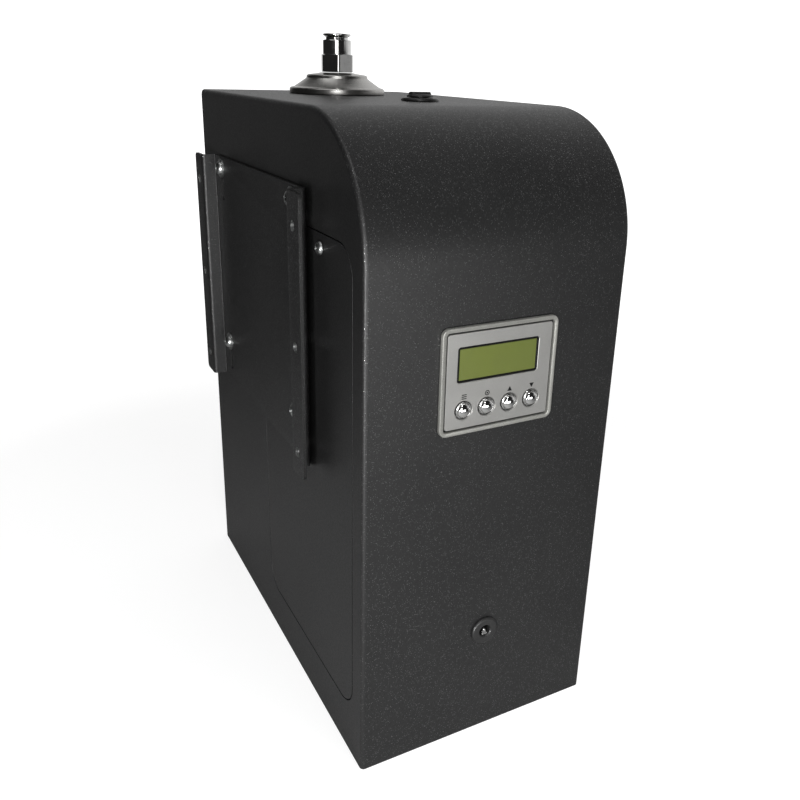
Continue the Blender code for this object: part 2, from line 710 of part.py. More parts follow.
def make_lock():
    place = (*LOCK_AT, CASE_HEIGHT)
    flange_top = SEAT + 1.3 * MM
    bottom = LOCK_BARREL_BOTTOM - CASE_HEIGHT
    barrel = [
        (LOCK_BORE, flange_top),
        (8.4 * MM, flange_top),
        (9.0 * MM, flange_top - 0.6 * MM),
        (9.0 * MM, SEAT),
        (6.5 * MM, SEAT),
        (6.5 * MM, bottom),
        (LOCK_BORE, bottom),
    ]
    turned("lock_barrel", barrel, place, finish="black_plastic", steps=24)
    nut_top = -SHEET - SEAT
    nut = hexagon("lock_nut", 19 * MM, (*LOCK_AT, CASE_HEIGHT + nut_top - 3 * MM), 3 * MM, "zinc")
    cut(nut, upright_bore("lock_nut_bore", 6.8 * MM, LOCK_AT, CASE_HEIGHT - 8 * MM, CASE_HEIGHT))

    disc = flange_top + SEAT
    stud_end = CAM_TOP - CAM_THICKNESS - 3.2 * MM - CASE_HEIGHT
    stud_top = bottom - SEAT
    stem = LOCK_BORE - PIN_FIT
    turn = [
        (0.0, disc + 1.2 * MM),
        (5.8 * MM, disc + 1.2 * MM),
        (6.3 * MM, disc + 0.8 * MM),
        (6.3 * MM, disc),
        (stem, disc),
        (stem, stud_top),
        (1.9 * MM, stud_top),
        (1.9 * MM, stud_end),
        (0.0, stud_end),
    ]
    thumb_turn = turned("lock_thumb_turn", turn, place, finish="black_plastic", steps=24)
    wing_bottom = CASE_HEIGHT + disc + 0.6 * MM
    wing = cuboid(
        "lock_wing",
        (LOCK_AT[X] - 5.6 * MM, LOCK_AT[Y] - 2.2 * MM, wing_bottom),
        (LOCK_AT[X] + 5.6 * MM, LOCK_AT[Y] + 2.2 * MM, wing_bottom + 1.7 * MM),
        rounded=Z,
        radius=1.8 * MM,
        segments=4,
    )
    join(thumb_turn, wing)

    half = CAM_WIDTH / 2
    cam = cuboid(
        "lock_cam",
        (LOCK_AT[X] - half, LOCK_AT[Y] - CAM_REACH, CAM_TOP - CAM_THICKNESS),
        (LOCK_AT[X] + half, LOCK_AT[Y] + half, CAM_TOP),
        "zinc",
    )
    tip_end = LOCK_AT[Y] - CAM_REACH
    tip = cuboid(
        "cam_tip",
        (LOCK_AT[X] - half + 0.01 * MM, tip_end + 0.01 * MM, CAM_TOP - CAM_THICKNESS - CAM_TIP_DROP),
        (LOCK_AT[X] + half - 0.01 * MM, tip_end + CAM_THICKNESS, CAM_TOP - 0.01 * MM),
    )
    join(cam, tip)
    cut(cam, upright_bore("cam_hole", 2.2 * MM, LOCK_AT, CAM_TOP - 3 * MM, CAM_TOP + MM))
    set_origin(cam, (*LOCK_AT, 0.0))
    nut_at = (*LOCK_AT, CAM_TOP - CAM_THICKNESS - SEAT - 2.5 * MM)
    cam_nut = hexagon("lock_cam_nut", 8 * MM, nut_at, 2.5 * MM, "zinc")
    cut(cam_nut, upright_bore("cam_nut_bore", 2.2 * MM, LOCK_AT, nut_at[Z] - MM, nut_at[Z] + 4 * MM))


def hexagon(name, flats, bottom_middle, tall, finish=None, turn=0.0, corner=0.0):
    bm = bmesh.new()
    radius = flats / math.sqrt(3)
    lift = Matrix.Translation(Vector(bottom_middle) + Vector((0, 0, tall / 2)))
    bmesh.ops.create_cone(
        bm,
        cap_ends=True,
        segments=6,
        radius1=radius,
        radius2=radius,
        depth=tall,
        matrix=lift @ Matrix.Rotation(turn, 4, "Z"),
    )
    if corner > 0.0:
        round_edges(bm, Z, corner, 3)
    return add_object(name, mesh_of(name, bm), finish)


# The outlet


def make_outlet():
    place = (*OUTLET_AT, CASE_HEIGHT)
    bore = TUBE_BORE + 0.2 * MM
    seat_top = 10.9 * MM
    flange = [
        (bore, seat_top),
        (9.6 * MM, seat_top),
        (15.9 * MM, 9.9 * MM),
        (16.5 * MM, 9.5 * MM),
        (16.5 * MM, 8.1 * MM),
        (23.5 * MM, 3.4 * MM),
        (25.1 * MM, 3.3 * MM),
        (OUTLET_FLANGE_RADIUS, 2.9 * MM),
        (OUTLET_FLANGE_RADIUS, SEAT),
        (OUTLET_STEM_RADIUS, SEAT),
        (OUTLET_STEM_RADIUS, -16 * MM),
        (bore, -16 * MM),
    ]
    turned("outlet_flange", flange, place, finish="steel", steps=36)
    washer_top = -SHEET - SEAT
    washer_bottom = washer_top - 1.5 * MM
    ring("outlet_washer", 14 * MM, 8.3 * MM, washer_bottom, washer_top, place, finish="rubber")
    nut_top = CASE_HEIGHT + washer_bottom - SEAT
    nut = hexagon("outlet_nut", 24 * MM, (*OUTLET_AT, nut_top - 5 * MM), 5 * MM, "zinc")
    cut(nut, upright_bore("outlet_nut_bore", 8.3 * MM, OUTLET_AT, nut_top - 6 * MM, nut_top + MM))

    hex_bottom = CASE_HEIGHT + seat_top + SEAT
    hex_tall = 9.1 * MM
    body_top = seat_top + SEAT + hex_tall + 7.2 * MM
    hex_at = (*OUTLET_AT, hex_bottom)
    fitting = hexagon("outlet_fitting", HEX_FLATS, hex_at, hex_tall, "chrome", math.radians(13), 1.0 * MM)
    body_bottom = seat_top + SEAT + hex_tall - 0.5 * MM
    wide = 7.55 * MM
    body = [(0.0, body_top), (7.2 * MM, body_top), (wide, body_top - 0.4 * MM), (wide, body_bottom)]
    body.append((0.0, body_bottom))
    join(fitting, turned("fitting_body", body, place, steps=24))
    counterbore = body_top - 6.5 * MM
    groove = seat_top + 5.2 * MM
    inside = [
        (0.0, body_top + MM),
        (6.0 * MM, body_top + MM),
        (6.0 * MM, counterbore),
        (TUBE_BORE, counterbore),
        (TUBE_BORE, groove + 3.6 * MM),
        (6.8 * MM, groove + 3.6 * MM),
        (6.8 * MM, groove),
        (TUBE_BORE, groove),
        (TUBE_BORE, seat_top - MM),
        (0.0, seat_top - MM),
    ]
    cut(fitting, turned("fitting_bore", inside, place, steps=24))
    ring("outlet_seal", 6.5 * MM, TUBE_BORE, groove + 0.3 * MM, groove + 3.3 * MM, place, finish="rubber")

    sleeve = 5.92 * MM
    rim = body_top + COLLAR_TRAVEL + 0.2 * MM
    collar = [
        (TUBE_BORE, rim + 1.9 * MM),
        (7.2 * MM, rim + 1.9 * MM),
        (7.5 * MM, rim + 1.5 * MM),
        (7.4 * MM, rim + 0.9 * MM),
        (sleeve, rim),
        (sleeve, counterbore + COLLAR_TRAVEL + SEAT),
        (TUBE_BORE, counterbore + COLLAR_TRAVEL + SEAT),
    ]
    turned("outlet_collar", collar, place, finish="chrome", steps=24)


# The control panel


def face_block(name, middle, size, low_y, high_y, corner, finish=None, segments=4):
    """A block behind the front face, centred on (x, z), with rounded corners."""
    x, z = middle
    width, tall = size
    low = (x - width / 2, low_y, z - tall / 2)
    high = (x + width / 2, high_y, z + tall / 2)
    return cuboid(name, low, high, finish, rounded=Y, radius=corner, segments=segments)


def button_places():
    """x of each button, spread evenly about the control panel's middle."""
    first = CONTROL_MIDDLE[0] - BUTTON_PITCH * (len(BUTTONS) - 1) / 2
    return {name: first + index * BUTTON_PITCH for index, name in enumerate(BUTTONS)}


def make_control_panel():
    outer = FRONT - BEZEL_PROUD - SEAT
    seat = FRONT - SEAT
    bezel = face_block("panel_bezel", CONTROL_MIDDLE, BEZEL_SIZE, outer, seat, 3.4 * MM, "silver_paint", 5)
    inner_size = tuple(side - 2 * BEZEL_RIM for side in BEZEL_SIZE)
    cut(bezel, face_block("bezel_opening", CONTROL_MIDDLE, inner_size, outer - MM, FRONT + MM, 1.6 * MM))

    plate_size = tuple(side - 2 * SEAM for side in inner_size)
    plate_front = seat - PLATE_THICKNESS
    plate = face_block("panel_plate", CONTROL_MIDDLE, plate_size, plate_front, seat, 1.3 * MM, "silver_paint")
    posts = []
    post_x, post_z = 22.2 * MM, 17.2 * MM
    for x in (CONTROL_MIDDLE[0] - post_x, CONTROL_MIDDLE[0] + post_x):
        for z in (CONTROL_MIDDLE[1] - post_z, CONTROL_MIDDLE[1] + post_z):
            posts.append(((x, FRONT - 2 * SEAT, z), (x, BOARD_FRONT - SEAT, z)))
    join(plate, rods("panel_posts", 1.8 * MM, posts, 12))
    window = face_block("plate_window", WINDOW_MIDDLE, WINDOW_SIZE, plate_front - MM, FRONT + MM, 1.2 * MM)
    holes = []
    for x in button_places().values():
        holes.append(((x, plate_front - MM, BUTTON_HEIGHT), (x, FRONT + MM, BUTTON_HEIGHT)))
    cut(plate, window, rods("button_holes", BUTTON_RADIUS + 0.3 * MM, holes, 18))

    gasket_size = tuple(side - 2 * 0.2 * MM for side in WINDOW_SIZE)
    gasket_front = FRONT - 1.3 * MM
    gasket = face_block("display_gasket", WINDOW_MIDDLE, gasket_size, gasket_front, FRONT, MM, "rubber")
    view_size = tuple(side - 2 * WINDOW_BORDER for side in gasket_size)
    cut(gasket, face_block("gasket_opening", WINDOW_MIDDLE, view_size, FRONT - 3 * MM, FRONT + MM, 0.7 * MM))
    glass_front = FRONT + SEAT
    glass_back = glass_front + 2.6 * MM
    size = (43 * MM, 15 * MM)
    corner = 0.5 * MM
    face_block("display_glass", WINDOW_MIDDLE, size, glass_front, glass_back, corner, "display", 2)
    light_front = glass_back + SEAT
    light_back = BOARD_FRONT - SEAT
    face_block("display_backlight", WINDOW_MIDDLE, size, light_front, light_back, corner, "white_plastic", 2)


def make_buttons():
    """Chromed domes with a flange behind the plate and a stem that reaches for the switch."""
    face = SEAT + PLATE_THICKNESS
    radius = BUTTON_RADIUS
    dome = [
        (0.0, face + 1.9 * MM),
        (radius * 0.4, face + 1.75 * MM),
        (radius * 0.75, face + 1.25 * MM),
        (radius * 0.94, face + 0.6 * MM),
        (radius, face),
        (radius, 0.0),
        (radius + 0.7 * MM, 0.0),
        (radius + 0.7 * MM, -0.8 * MM),
        (1.4 * MM, -0.8 * MM),
    ]
    switch_top = BOARD_FRONT - SWITCH_TALL - 0.6 * MM
    stem_end = FRONT - (switch_top - BUTTON_TRAVEL - SEAT)
    stem = [(1.4 * MM, stem_end), (0.0, stem_end)]
    for name, x in button_places().items():
        turned(f"{name}_button", dome + stem, (x, FRONT, BUTTON_HEIGHT), (0, -1, 0), "chrome", 18)


def make_control_board():
    board_back = BOARD_FRONT + BOARD_THICKNESS
    x, z = CONTROL_MIDDLE
    low = (x - 27 * MM, BOARD_FRONT, z - 22 * MM)
    high = (x + 27 * MM, board_back, z + 22 * MM)
    board = cuboid("control_board", low, high, "board")
    half = 3 * MM
    top = BOARD_FRONT - SWITCH_TALL
    switches = []
    plungers = []
    for button_x in button_places().values():
        low = (button_x - half, top, BUTTON_HEIGHT - half)
        high = (button_x + half, BOARD_FRONT + 0.2 * MM, BUTTON_HEIGHT + half)
        switches.append((low, high))
        plungers.append(((button_x, top - 0.6 * MM, BUTTON_HEIGHT), (button_x, BOARD_FRONT, BUTTON_HEIGHT)))
    sockets = []
    for side in (-1, 1):
        low = (side * LEAD_SIDE - 4 * MM, board_back - 0.2 * MM, z - 19 * MM)
        high = (side * LEAD_SIDE + 4 * MM, board_back + 6 * MM, z - 12 * MM)
        sockets.append((low, high))
    join(board, cuboids("switch_bodies", switches), rods("switch_plungers", 1.6 * MM, plungers, 14))
    join(board, cuboids("lead_sockets", sockets))


# The DC jack


def make_jack():
    x, z = JACK_AT
    place = (x, FRONT, z)
    face = SEAT + 1.3 * MM
    body = [
        (0.0, -9 * MM),
        (JACK_BORE, -9 * MM),
        (JACK_BORE, face - 0.8 * MM),
        (3.5 * MM, face),
        (6.2 * MM, face),
        (6.85 * MM, face - 0.6 * MM),
        (6.85 * MM, SEAT),
        (JACK_THREAD, SEAT),
        (JACK_THREAD, -JACK_DEPTH),
        (0.0, -JACK_DEPTH),
    ]
    turned("jack_body", body, place, (0, -1, 0), "black_plastic", 24)
    thick = 1.05 * MM
    pin = [(0.0, -0.4 * MM), (0.6 * MM, -0.6 * MM), (thick, -1.2 * MM), (thick, -8.7 * MM), (0.0, -8.7 * MM)]
    turned("jack_pin", pin, place, (0, -1, 0), "chrome", 12)
    nut_front = -SHEET - SEAT
    nut_back = nut_front - 2.5 * MM
    ring("jack_nut", 8 * MM, JACK_THREAD + 0.2 * MM, nut_back, nut_front, place, (0, -1, 0), "zinc", 18)


# The air pump


def make_pump():
    width, depth, tall = PUMP_SIZE
    top = PUMP_BOTTOM + tall
    low = (-width / 2, PUMP_MIDDLE - depth / 2, PUMP_BOTTOM)
    high = (width / 2, PUMP_MIDDLE + depth / 2, top)
    body = cuboid("pump_body", low, high, "cast_metal", rounded=Z, radius=3 * MM, segments=3)
    channel = cuboid(
        "pump_channel",
        (low[X] + PUMP_WALL, low[Y] + PUMP_WALL * 3, PUMP_BOTTOM + PUMP_WALL),
        (high[X] - PUMP_WALL, high[Y] - PUMP_WALL * 3, top + MM),
    )
    middle_z = PUMP_BOTTOM + tall / 2
    hole_start = (low[X] - MM, PUMP_MIDDLE, middle_z)
    hole_end = (high[X] + MM, PUMP_MIDDLE, middle_z)
    cut(body, channel, rod("pump_rod_hole", 10 * MM, hole_start, hole_end))
    cover = cuboid(
        "pump_cover",
        (low[X], low[Y], top + SEAT),
        (high[X], high[Y], top + SEAT + 4 * MM),
        "cast_metal",
        rounded=Z,
        radius=3 * MM,
        segments=3,
    )
    join(cover, rod("pump_barb", 2.6 * MM, (0.0, PUMP_MIDDLE, top + MM), (0.0, PUMP_MIDDLE, top + 16 * MM)))
    for name, side in (("left", -1), ("right", 1)):
        head = [
            (0.0, 11 * MM),
            (14 * MM, 11 * MM),
            (17 * MM, 9 * MM),
            (PUMP_HEAD_RADIUS - MM, 8 * MM),
            (PUMP_HEAD_RADIUS, 7 * MM),
            (PUMP_HEAD_RADIUS, 0.0),
            (0.0, 0.0),
        ]
        place = (side * (width / 2 + SEAT), PUMP_MIDDLE, middle_z)
        turned(f"pump_head_{name}", head, place, (side, 0, 0), "black_plastic", 24)
    half = Vector(ARMATURE_SIZE) / 2
    middle = Vector((0.0, PUMP_MIDDLE, middle_z))
    armature = cuboid("pump_armature", middle - half, middle + half, "steel", X, 2 * MM, 2)
    set_origin(armature, middle)
    cuboid(
        "pump_mat",
        (low[X] - 3 * MM, low[Y] - 3 * MM, FLOOR_TOP),
        (high[X] + 3 * MM, high[Y] + 3 * MM, PUMP_BOTTOM - SEAT),
        "rubber",
        rounded=Z,
        radius=5 * MM,
    )


# The bottle, the atomiser and the tubes


def make_bottle():
    place = (*OUTLET_AT, 0.0)
    shoulder = 140 * MM
    well = 3.2 * MM
    bottle = [
        (0.0, BOTTLE_BOTTOM + 4 * MM),
        (well, BOTTLE_BOTTOM + 4 * MM),
        (well, NECK_TOP),
        (NECK_RADIUS, NECK_TOP),
        (NECK_RADIUS, shoulder + 14 * MM),
        (NECK_RADIUS + 4 * MM, shoulder + 11 * MM),
        (BOTTLE_RADIUS - 7 * MM, shoulder + 6 * MM),
        (BOTTLE_RADIUS - 1.5 * MM, shoulder),
        (BOTTLE_RADIUS, shoulder - 6 * MM),
        (BOTTLE_RADIUS, BOTTLE_BOTTOM + 2 * MM),
        (BOTTLE_RADIUS - 2 * MM, BOTTLE_BOTTOM),
        (0.0, BOTTLE_BOTTOM),
    ]
    turned("scent_bottle", bottle, place, finish="bottle_plastic", steps=24)
    cradle_wall = BOTTLE_RADIUS + 0.4 * MM
    cradle_floor = BOTTLE_BOTTOM - SEAT
    cradle = [
        (0.0, cradle_floor),
        (cradle_wall, cradle_floor),
        (cradle_wall, 18 * MM),
        (cradle_wall + 2.5 * MM, 18 * MM),
        (cradle_wall + 2.5 * MM, FLOOR_TOP),
        (0.0, FLOOR_TOP),
    ]
    turned("bottle_cradle", cradle, place, finish="rubber", steps=24)
    lip = NECK_TOP + 2.2 * MM
    collar = [
        (10.3 * MM, lip + 2 * MM),
        (17.2 * MM, lip + 2 * MM),
        (18 * MM, lip + MM),
        (18 * MM, NECK_TOP - 16 * MM),
        (NECK_RADIUS + 0.4 * MM, NECK_TOP - 16 * MM),
        (NECK_RADIUS + 0.4 * MM, lip),
        (10.3 * MM, lip),
    ]
    turned("bottle_collar", collar, place, finish="black_plastic", steps=24)


def make_atomiser():
    place = (*OUTLET_AT, 0.0)
    flange = NECK_TOP + SEAT
    top = 212 * MM
    body = [
        (0.0, 196 * MM),
        (5.3 * MM, 196 * MM),
        (5.3 * MM, top),
        (8.4 * MM, top),
        (10 * MM, top - 3 * MM),
        (10 * MM, flange + 1.6 * MM),
        (NECK_RADIUS - 0.4 * MM, flange + 1.6 * MM),
        (NECK_RADIUS - 0.4 * MM, flange),
        (2.8 * MM, flange),
        (2.8 * MM, 190 * MM),
        (0.0, 190 * MM),
    ]
    atomiser = turned("atomiser_head", body, place, finish="brass", steps=24)
    inlet_start = (OUTLET_AT[X], OUTLET_AT[Y] - 8 * MM, AIR_INLET_HEIGHT)
    inlet_end = (OUTLET_AT[X], OUTLET_AT[Y] - AIR_INLET_LENGTH, AIR_INLET_HEIGHT)
    join(atomiser, rod("air_inlet", 2.6 * MM, inlet_start, inlet_end))
    ring("dip_tube", 2.5 * MM, 1.5 * MM, 10 * MM, 188 * MM, place, finish="silicone", steps=12)
    ring("mist_tube", 5.0 * MM, 3.6 * MM, 197 * MM, 299 * MM, place, finish="silicone", steps=16)


def make_partition():
    side = 50 * MM
    thickness = SHEET
    partition = cuboid(
        "partition_plate",
        (-side, PARTITION_AT, FLOOR_TOP),
        (side, PARTITION_AT + thickness, PARTITION_TOP),
        "zinc",
    )
    foot = cuboid(
        "partition_foot",
        (-side + 0.01 * MM, PARTITION_AT - 14 * MM, FLOOR_TOP + 0.01 * MM),
        (side - 0.01 * MM, PARTITION_AT + thickness / 2, FLOOR_TOP + thickness),
    )
    join(partition, foot)
    hole = 6.3 * MM
    start = (OUTLET_AT[X], PARTITION_AT - MM, AIR_INLET_HEIGHT)
    end = (OUTLET_AT[X], PARTITION_AT + 3 * MM, AIR_INLET_HEIGHT)
    cut(partition, rod("grommet_hole", hole, start, end, steps=18))
    groove = hole - 0.3 * MM
    bore = AIR_TUBE_RADIUS + 0.3 * MM
    half = thickness / 2 + SEAT
    lip = half + 1.5 * MM
    grommet = [
        (bore, lip),
        (groove + 2 * MM, lip),
        (groove + 2 * MM, half),
        (groove, half),
        (groove, -half),
        (groove + 2 * MM, -half),
        (groove + 2 * MM, -lip),
        (bore, -lip),
    ]
    place = (OUTLET_AT[X], PARTITION_AT + thickness / 2, AIR_INLET_HEIGHT)
    turned("tube_grommet", grommet, place, (0, -1, 0), "rubber", 18)


def make_air_tube():
    start_z = PUMP_BOTTOM + PUMP_SIZE[Z] + 16 * MM + SEAT
    end_y = OUTLET_AT[Y] - AIR_INLET_LENGTH - SEAT
    rise = AIR_INLET_HEIGHT - start_z
    route = [
        (0.0, PUMP_MIDDLE, start_z),
        (0.0, PUMP_MIDDLE, start_z + 0.3 * rise),
        (0.0, PUMP_MIDDLE + 2 * MM, start_z + 0.62 * rise),
        (0.0, PUMP_MIDDLE + 14 * MM, start_z + 0.9 * rise),
        (OUTLET_AT[X], PUMP_MIDDLE + 36 * MM, AIR_INLET_HEIGHT),
        (OUTLET_AT[X], PARTITION_AT, AIR_INLET_HEIGHT),
        (OUTLET_AT[X], end_y, AIR_INLET_HEIGHT),
    ]
    tube("air_tube", AIR_TUBE_RADIUS, route, "silicone")


def make_leads():
    radius = 1.5 * MM
    socket_back = BOARD_FRONT + BOARD_THICKNESS + 6 * MM
    socket_z = CONTROL_MIDDLE[1] - 15.5 * MM
    jack_x, jack_z = JACK_AT
    jack_back = FRONT + JACK_DEPTH
    bend = 8 * MM
    stub = 4 * MM
    dc_route = [
        (jack_x, jack_back + SEAT, jack_z),
        (jack_x, jack_back + stub, jack_z),
        (jack_x + MM, jack_back + bend, jack_z + 7 * MM),
        (jack_x + 6 * MM, jack_back + bend, jack_z + 30 * MM),
        (LEAD_SIDE, jack_back + bend, socket_z - 35 * MM),
        (LEAD_SIDE, socket_back + bend, socket_z - 8 * MM),
        (LEAD_SIDE, socket_back + stub, socket_z),
        (LEAD_SIDE, socket_back + SEAT, socket_z),
    ]
    tube("dc_lead", radius, dc_route, "rubber")
    pump_front = PUMP_MIDDLE - PUMP_SIZE[Y] / 2
    pump_route = [
        (-LEAD_SIDE, pump_front - SEAT, PUMP_BOTTOM + 35 * MM),
        (-LEAD_SIDE, pump_front - stub, PUMP_BOTTOM + 35 * MM),
        (-LEAD_SIDE, pump_front - bend, PUMP_BOTTOM + 43 * MM),
        (-LEAD_SIDE, pump_front - bend, PUMP_BOTTOM + 70 * MM),
        (-LEAD_SIDE, socket_back + bend, socket_z - 25 * MM),
        (-LEAD_SIDE, socket_back + bend, socket_z - 8 * MM),
        (-LEAD_SIDE, socket_back + stub, socket_z),
        (-LEAD_SIDE, socket_back + SEAT, socket_z),
    ]
    tube("pump_lead", radius, pump_route, "rubber")


def main():
    clear_scene()
    add_collection("fog_machine")
    add_collection("cutters")
    add_finishes()
    make_housing()
    make_base()
    make_service_panel()
    make_wall_bracket()
    make_door()
    make_lock()
    make_outlet()
    make_control_panel()
    make_buttons()
    make_control_board()
    make_jack()
    make_pump()
    make_bottle()
    make_atomiser()
    make_partition()
    make_air_tube()
    make_leads()
    bpy.data.collections["cutters"].hide_render = True


main()
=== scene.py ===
"""Looks of the cold-air fog machine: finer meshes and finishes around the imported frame.

Every piece is placed from the frame's boxes and built in the frame's own coordinates, in metres.
"""

import json
import math

import bmesh
import bpy
from mathutils import Matrix, Vector


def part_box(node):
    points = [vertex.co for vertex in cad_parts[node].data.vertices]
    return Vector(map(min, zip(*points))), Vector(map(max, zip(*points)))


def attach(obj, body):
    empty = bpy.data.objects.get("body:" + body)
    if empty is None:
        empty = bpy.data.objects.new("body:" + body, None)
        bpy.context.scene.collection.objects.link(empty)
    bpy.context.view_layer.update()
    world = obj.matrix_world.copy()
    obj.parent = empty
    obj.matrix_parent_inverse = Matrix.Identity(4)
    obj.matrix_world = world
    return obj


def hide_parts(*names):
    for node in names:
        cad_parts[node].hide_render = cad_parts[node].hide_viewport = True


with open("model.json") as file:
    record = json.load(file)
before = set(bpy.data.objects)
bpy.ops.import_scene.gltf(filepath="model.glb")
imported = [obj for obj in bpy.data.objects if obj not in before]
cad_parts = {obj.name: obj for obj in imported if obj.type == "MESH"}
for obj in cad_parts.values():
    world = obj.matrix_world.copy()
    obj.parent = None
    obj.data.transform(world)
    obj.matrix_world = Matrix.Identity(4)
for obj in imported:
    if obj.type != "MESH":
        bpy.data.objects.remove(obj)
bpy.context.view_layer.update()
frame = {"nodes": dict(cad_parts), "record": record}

MM = 0.001
X, Y, Z = 0, 1, 2

# The case, read from the frame
CASE_LOW, CASE_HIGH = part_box("housing")
LEFT, FRONT = CASE_LOW[X], CASE_LOW[Y]
RIGHT, BACK, ROOF = CASE_HIGH
ROOF_RADIUS = 56 * MM
SHEET = 1.2 * MM
BEND = 2.0 * MM
SEAM = 0.4 * MM
LIP = 0.35 * MM
SEAT = 0.3 * MM
SMOOTH_BELOW = math.radians(30)


def middle_of(node):
    low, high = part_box(node)
    return (low + high) / 2


OUTLET_AXIS = tuple(middle_of("outlet_flange"))[:2]
LOCK_AXIS = tuple(middle_of("lock_barrel"))[:2]
JACK_X, JACK_Z = middle_of("jack_body")[X], middle_of("jack_body")[Z]
CONTROL_X, CONTROL_Z = middle_of("panel_bezel")[X], middle_of("panel_bezel")[Z]
BASE_SCREWS = [tuple(middle_of(f"base_screw_{number}"))[:2] for number in range(1, 5)]
BRACKET_SCREWS = [middle_of(f"bracket_screw_{number}") for number in range(1, 5)]

# The seams, as (depth, height) corners
PANEL_LOW, PANEL_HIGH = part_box("service_panel")
PANEL = ((PANEL_LOW[Y], 25.5 * MM), (PANEL_HIGH[Y], PANEL_HIGH[Z]))
PANEL_CORNER = 13 * MM
DOOR_LOW, DOOR_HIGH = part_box("side_door")
DOOR = ((DOOR_LOW[Y], DOOR_LOW[Z]), (88 * MM, DOOR_HIGH[Z]))
DOOR_MARGIN = DOOR[0][0] - FRONT
DOOR_CORNERS = (10 * MM, 10 * MM, 10 * MM, ROOF_RADIUS - DOOR_MARGIN)
DOOR_STEPS = (8, 8, 8, 40)
BRACKET_SHEET = 1.5 * MM
EAR_WIDTH = 14 * MM
EAR_HOLE_RADIUS = 2.4 * MM
EAR_HOLE_SHARES = (0.09, 0.48, 0.89)
BRACKET_LOW, BRACKET_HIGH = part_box("wall_bracket")
EAR_HOLE_DEPTHS = (BRACKET_LOW[Y] + EAR_WIDTH / 2, BRACKET_HIGH[Y] - EAR_WIDTH / 2)
LEAF_WIDTH = 17 * MM
KNUCKLE_RADIUS = 2.4 * MM
PIN_HOLE_RADIUS = 1.26 * MM
WINDOW_MIDDLE = middle_of("display_gasket")[X], middle_of("display_gasket")[Z]
WINDOW_SIZE = (39.6 * MM, 15.4 * MM)
BUTTONS = ("mode", "set", "up", "down")
BUTTON_PLACES = {name: middle_of(f"{name}_button")[X] for name in BUTTONS}
BUTTON_HEIGHT = middle_of("mode_button")[Z]
CONTROL_GAP = ((CONTROL_X - 25 * MM, CONTROL_Z - 20 * MM), (CONTROL_X + 25 * MM, CONTROL_Z + 20 * MM))
HEX_FLATS = 16.4 * MM
HEX_TURN = math.radians(13)
HEX_TALL = 9.1 * MM

# The studio: radiances, the side where its wall is pale, how far the floor reaches before it fades
# into the backdrop, and how bright the painted light and painted shade on the floor are in reflections
BACKDROP = 1.4
PALE_WALL = 0.75
DARK_WALLS = 0.015
WALL_DIRECTION = (0.8, 0.6, 0.0)
FLOOR_REACH = 1.0
FLOOR_PAINTED_LIGHT, FLOOR_PAINTED_SHADE = 0.6, 0.2
FLOOR_GLOW = 0.57


# Shapes


def new_piece(name, bm, smooth_below=SMOOTH_BELOW):
    """A mesh object from the bmesh, smooth where its faces meet at less than the angle."""
    mesh = bpy.data.meshes.new(name)
    bm.to_mesh(mesh)
    bm.free()
    piece = bpy.data.objects.new(name, mesh)
    bpy.context.scene.collection.objects.link(piece)
    smooth(piece, smooth_below)
    return piece


def smooth(piece, below=SMOOTH_BELOW):
    piece.data.shade_smooth()
    piece.data.set_sharp_from_angle(angle=below)


def apply_modifiers(piece):
    depsgraph = bpy.context.evaluated_depsgraph_get()
    mesh = bpy.data.meshes.new_from_object(piece.evaluated_get(depsgraph))
    piece.modifiers.clear()
    old = piece.data
    piece.data = mesh
    bpy.data.meshes.remove(old)


def combine(piece, operation, *tools):
    """Cuts, joins or intersects the tools with the piece, and removes them."""
    for tool in tools:
        modifier = piece.modifiers.new("shape", "BOOLEAN")
        modifier.object = tool
        modifier.operation = operation
        modifier.solver = "EXACT"
    apply_modifiers(piece)
    for tool in tools:
        bpy.data.objects.remove(tool, do_unlink=True)
    smooth(piece)
    return piece


def cut(piece, *tools):
    return combine(piece, "DIFFERENCE", *tools)


def join(piece, *tools):
    return combine(piece, "UNION", *tools)


def even_shading(piece):
    """Lets the large flat faces set the normals, so that cut faces shade flat."""
    weighted = piece.modifiers.new("even_shading", "WEIGHTED_NORMAL")
    weighted.keep_sharp = True
    weighted.weight = 100
    apply_modifiers(piece)


def soften(piece, width, angle=40):
    """Rounds every edge that is sharper than the angle, and shades across the rounding."""
    bevel = piece.modifiers.new("soften", "BEVEL")
    bevel.width = width
    bevel.segments = 2
    bevel.limit_method = "ANGLE"
    bevel.angle_limit = math.radians(angle)
    bevel.use_clamp_overlap = True
    bevel.harden_normals = True
    apply_modifiers(piece)
    return piece


def cuboid(name, low, high):
    bm = bmesh.new()
    size = Vector(high) - Vector(low)
    middle = (Vector(high) + Vector(low)) / 2
    bmesh.ops.create_cube(bm, size=1.0, matrix=Matrix.Translation(middle) @ Matrix.Diagonal((*size, 1.0)))
    return new_piece(name, bm)


def loft(name, loops, closed=False):
    """Skins loops of equal length: closed joins the last to the first, or else the ends are capped."""
    bm = bmesh.new()
    rings = [[bm.verts.new(point) for point in loop] for loop in loops]
    pairs = list(zip(rings, rings[1:]))
    if closed:
        pairs.append((rings[-1], rings[0]))
    count = len(rings[0])
    for first, second in pairs:
        for index in range(count):
            after = (index + 1) % count
            bm.faces.new((first[index], first[after], second[after], second[index]))
    if not closed:
        bm.faces.new(rings[0])
        bm.faces.new(rings[-1])
    bmesh.ops.recalc_face_normals(bm, faces=bm.faces)
    if bm.calc_volume(signed=True) < 0.0:
        bmesh.ops.reverse_faces(bm, faces=bm.faces)
    return new_piece(name, bm)


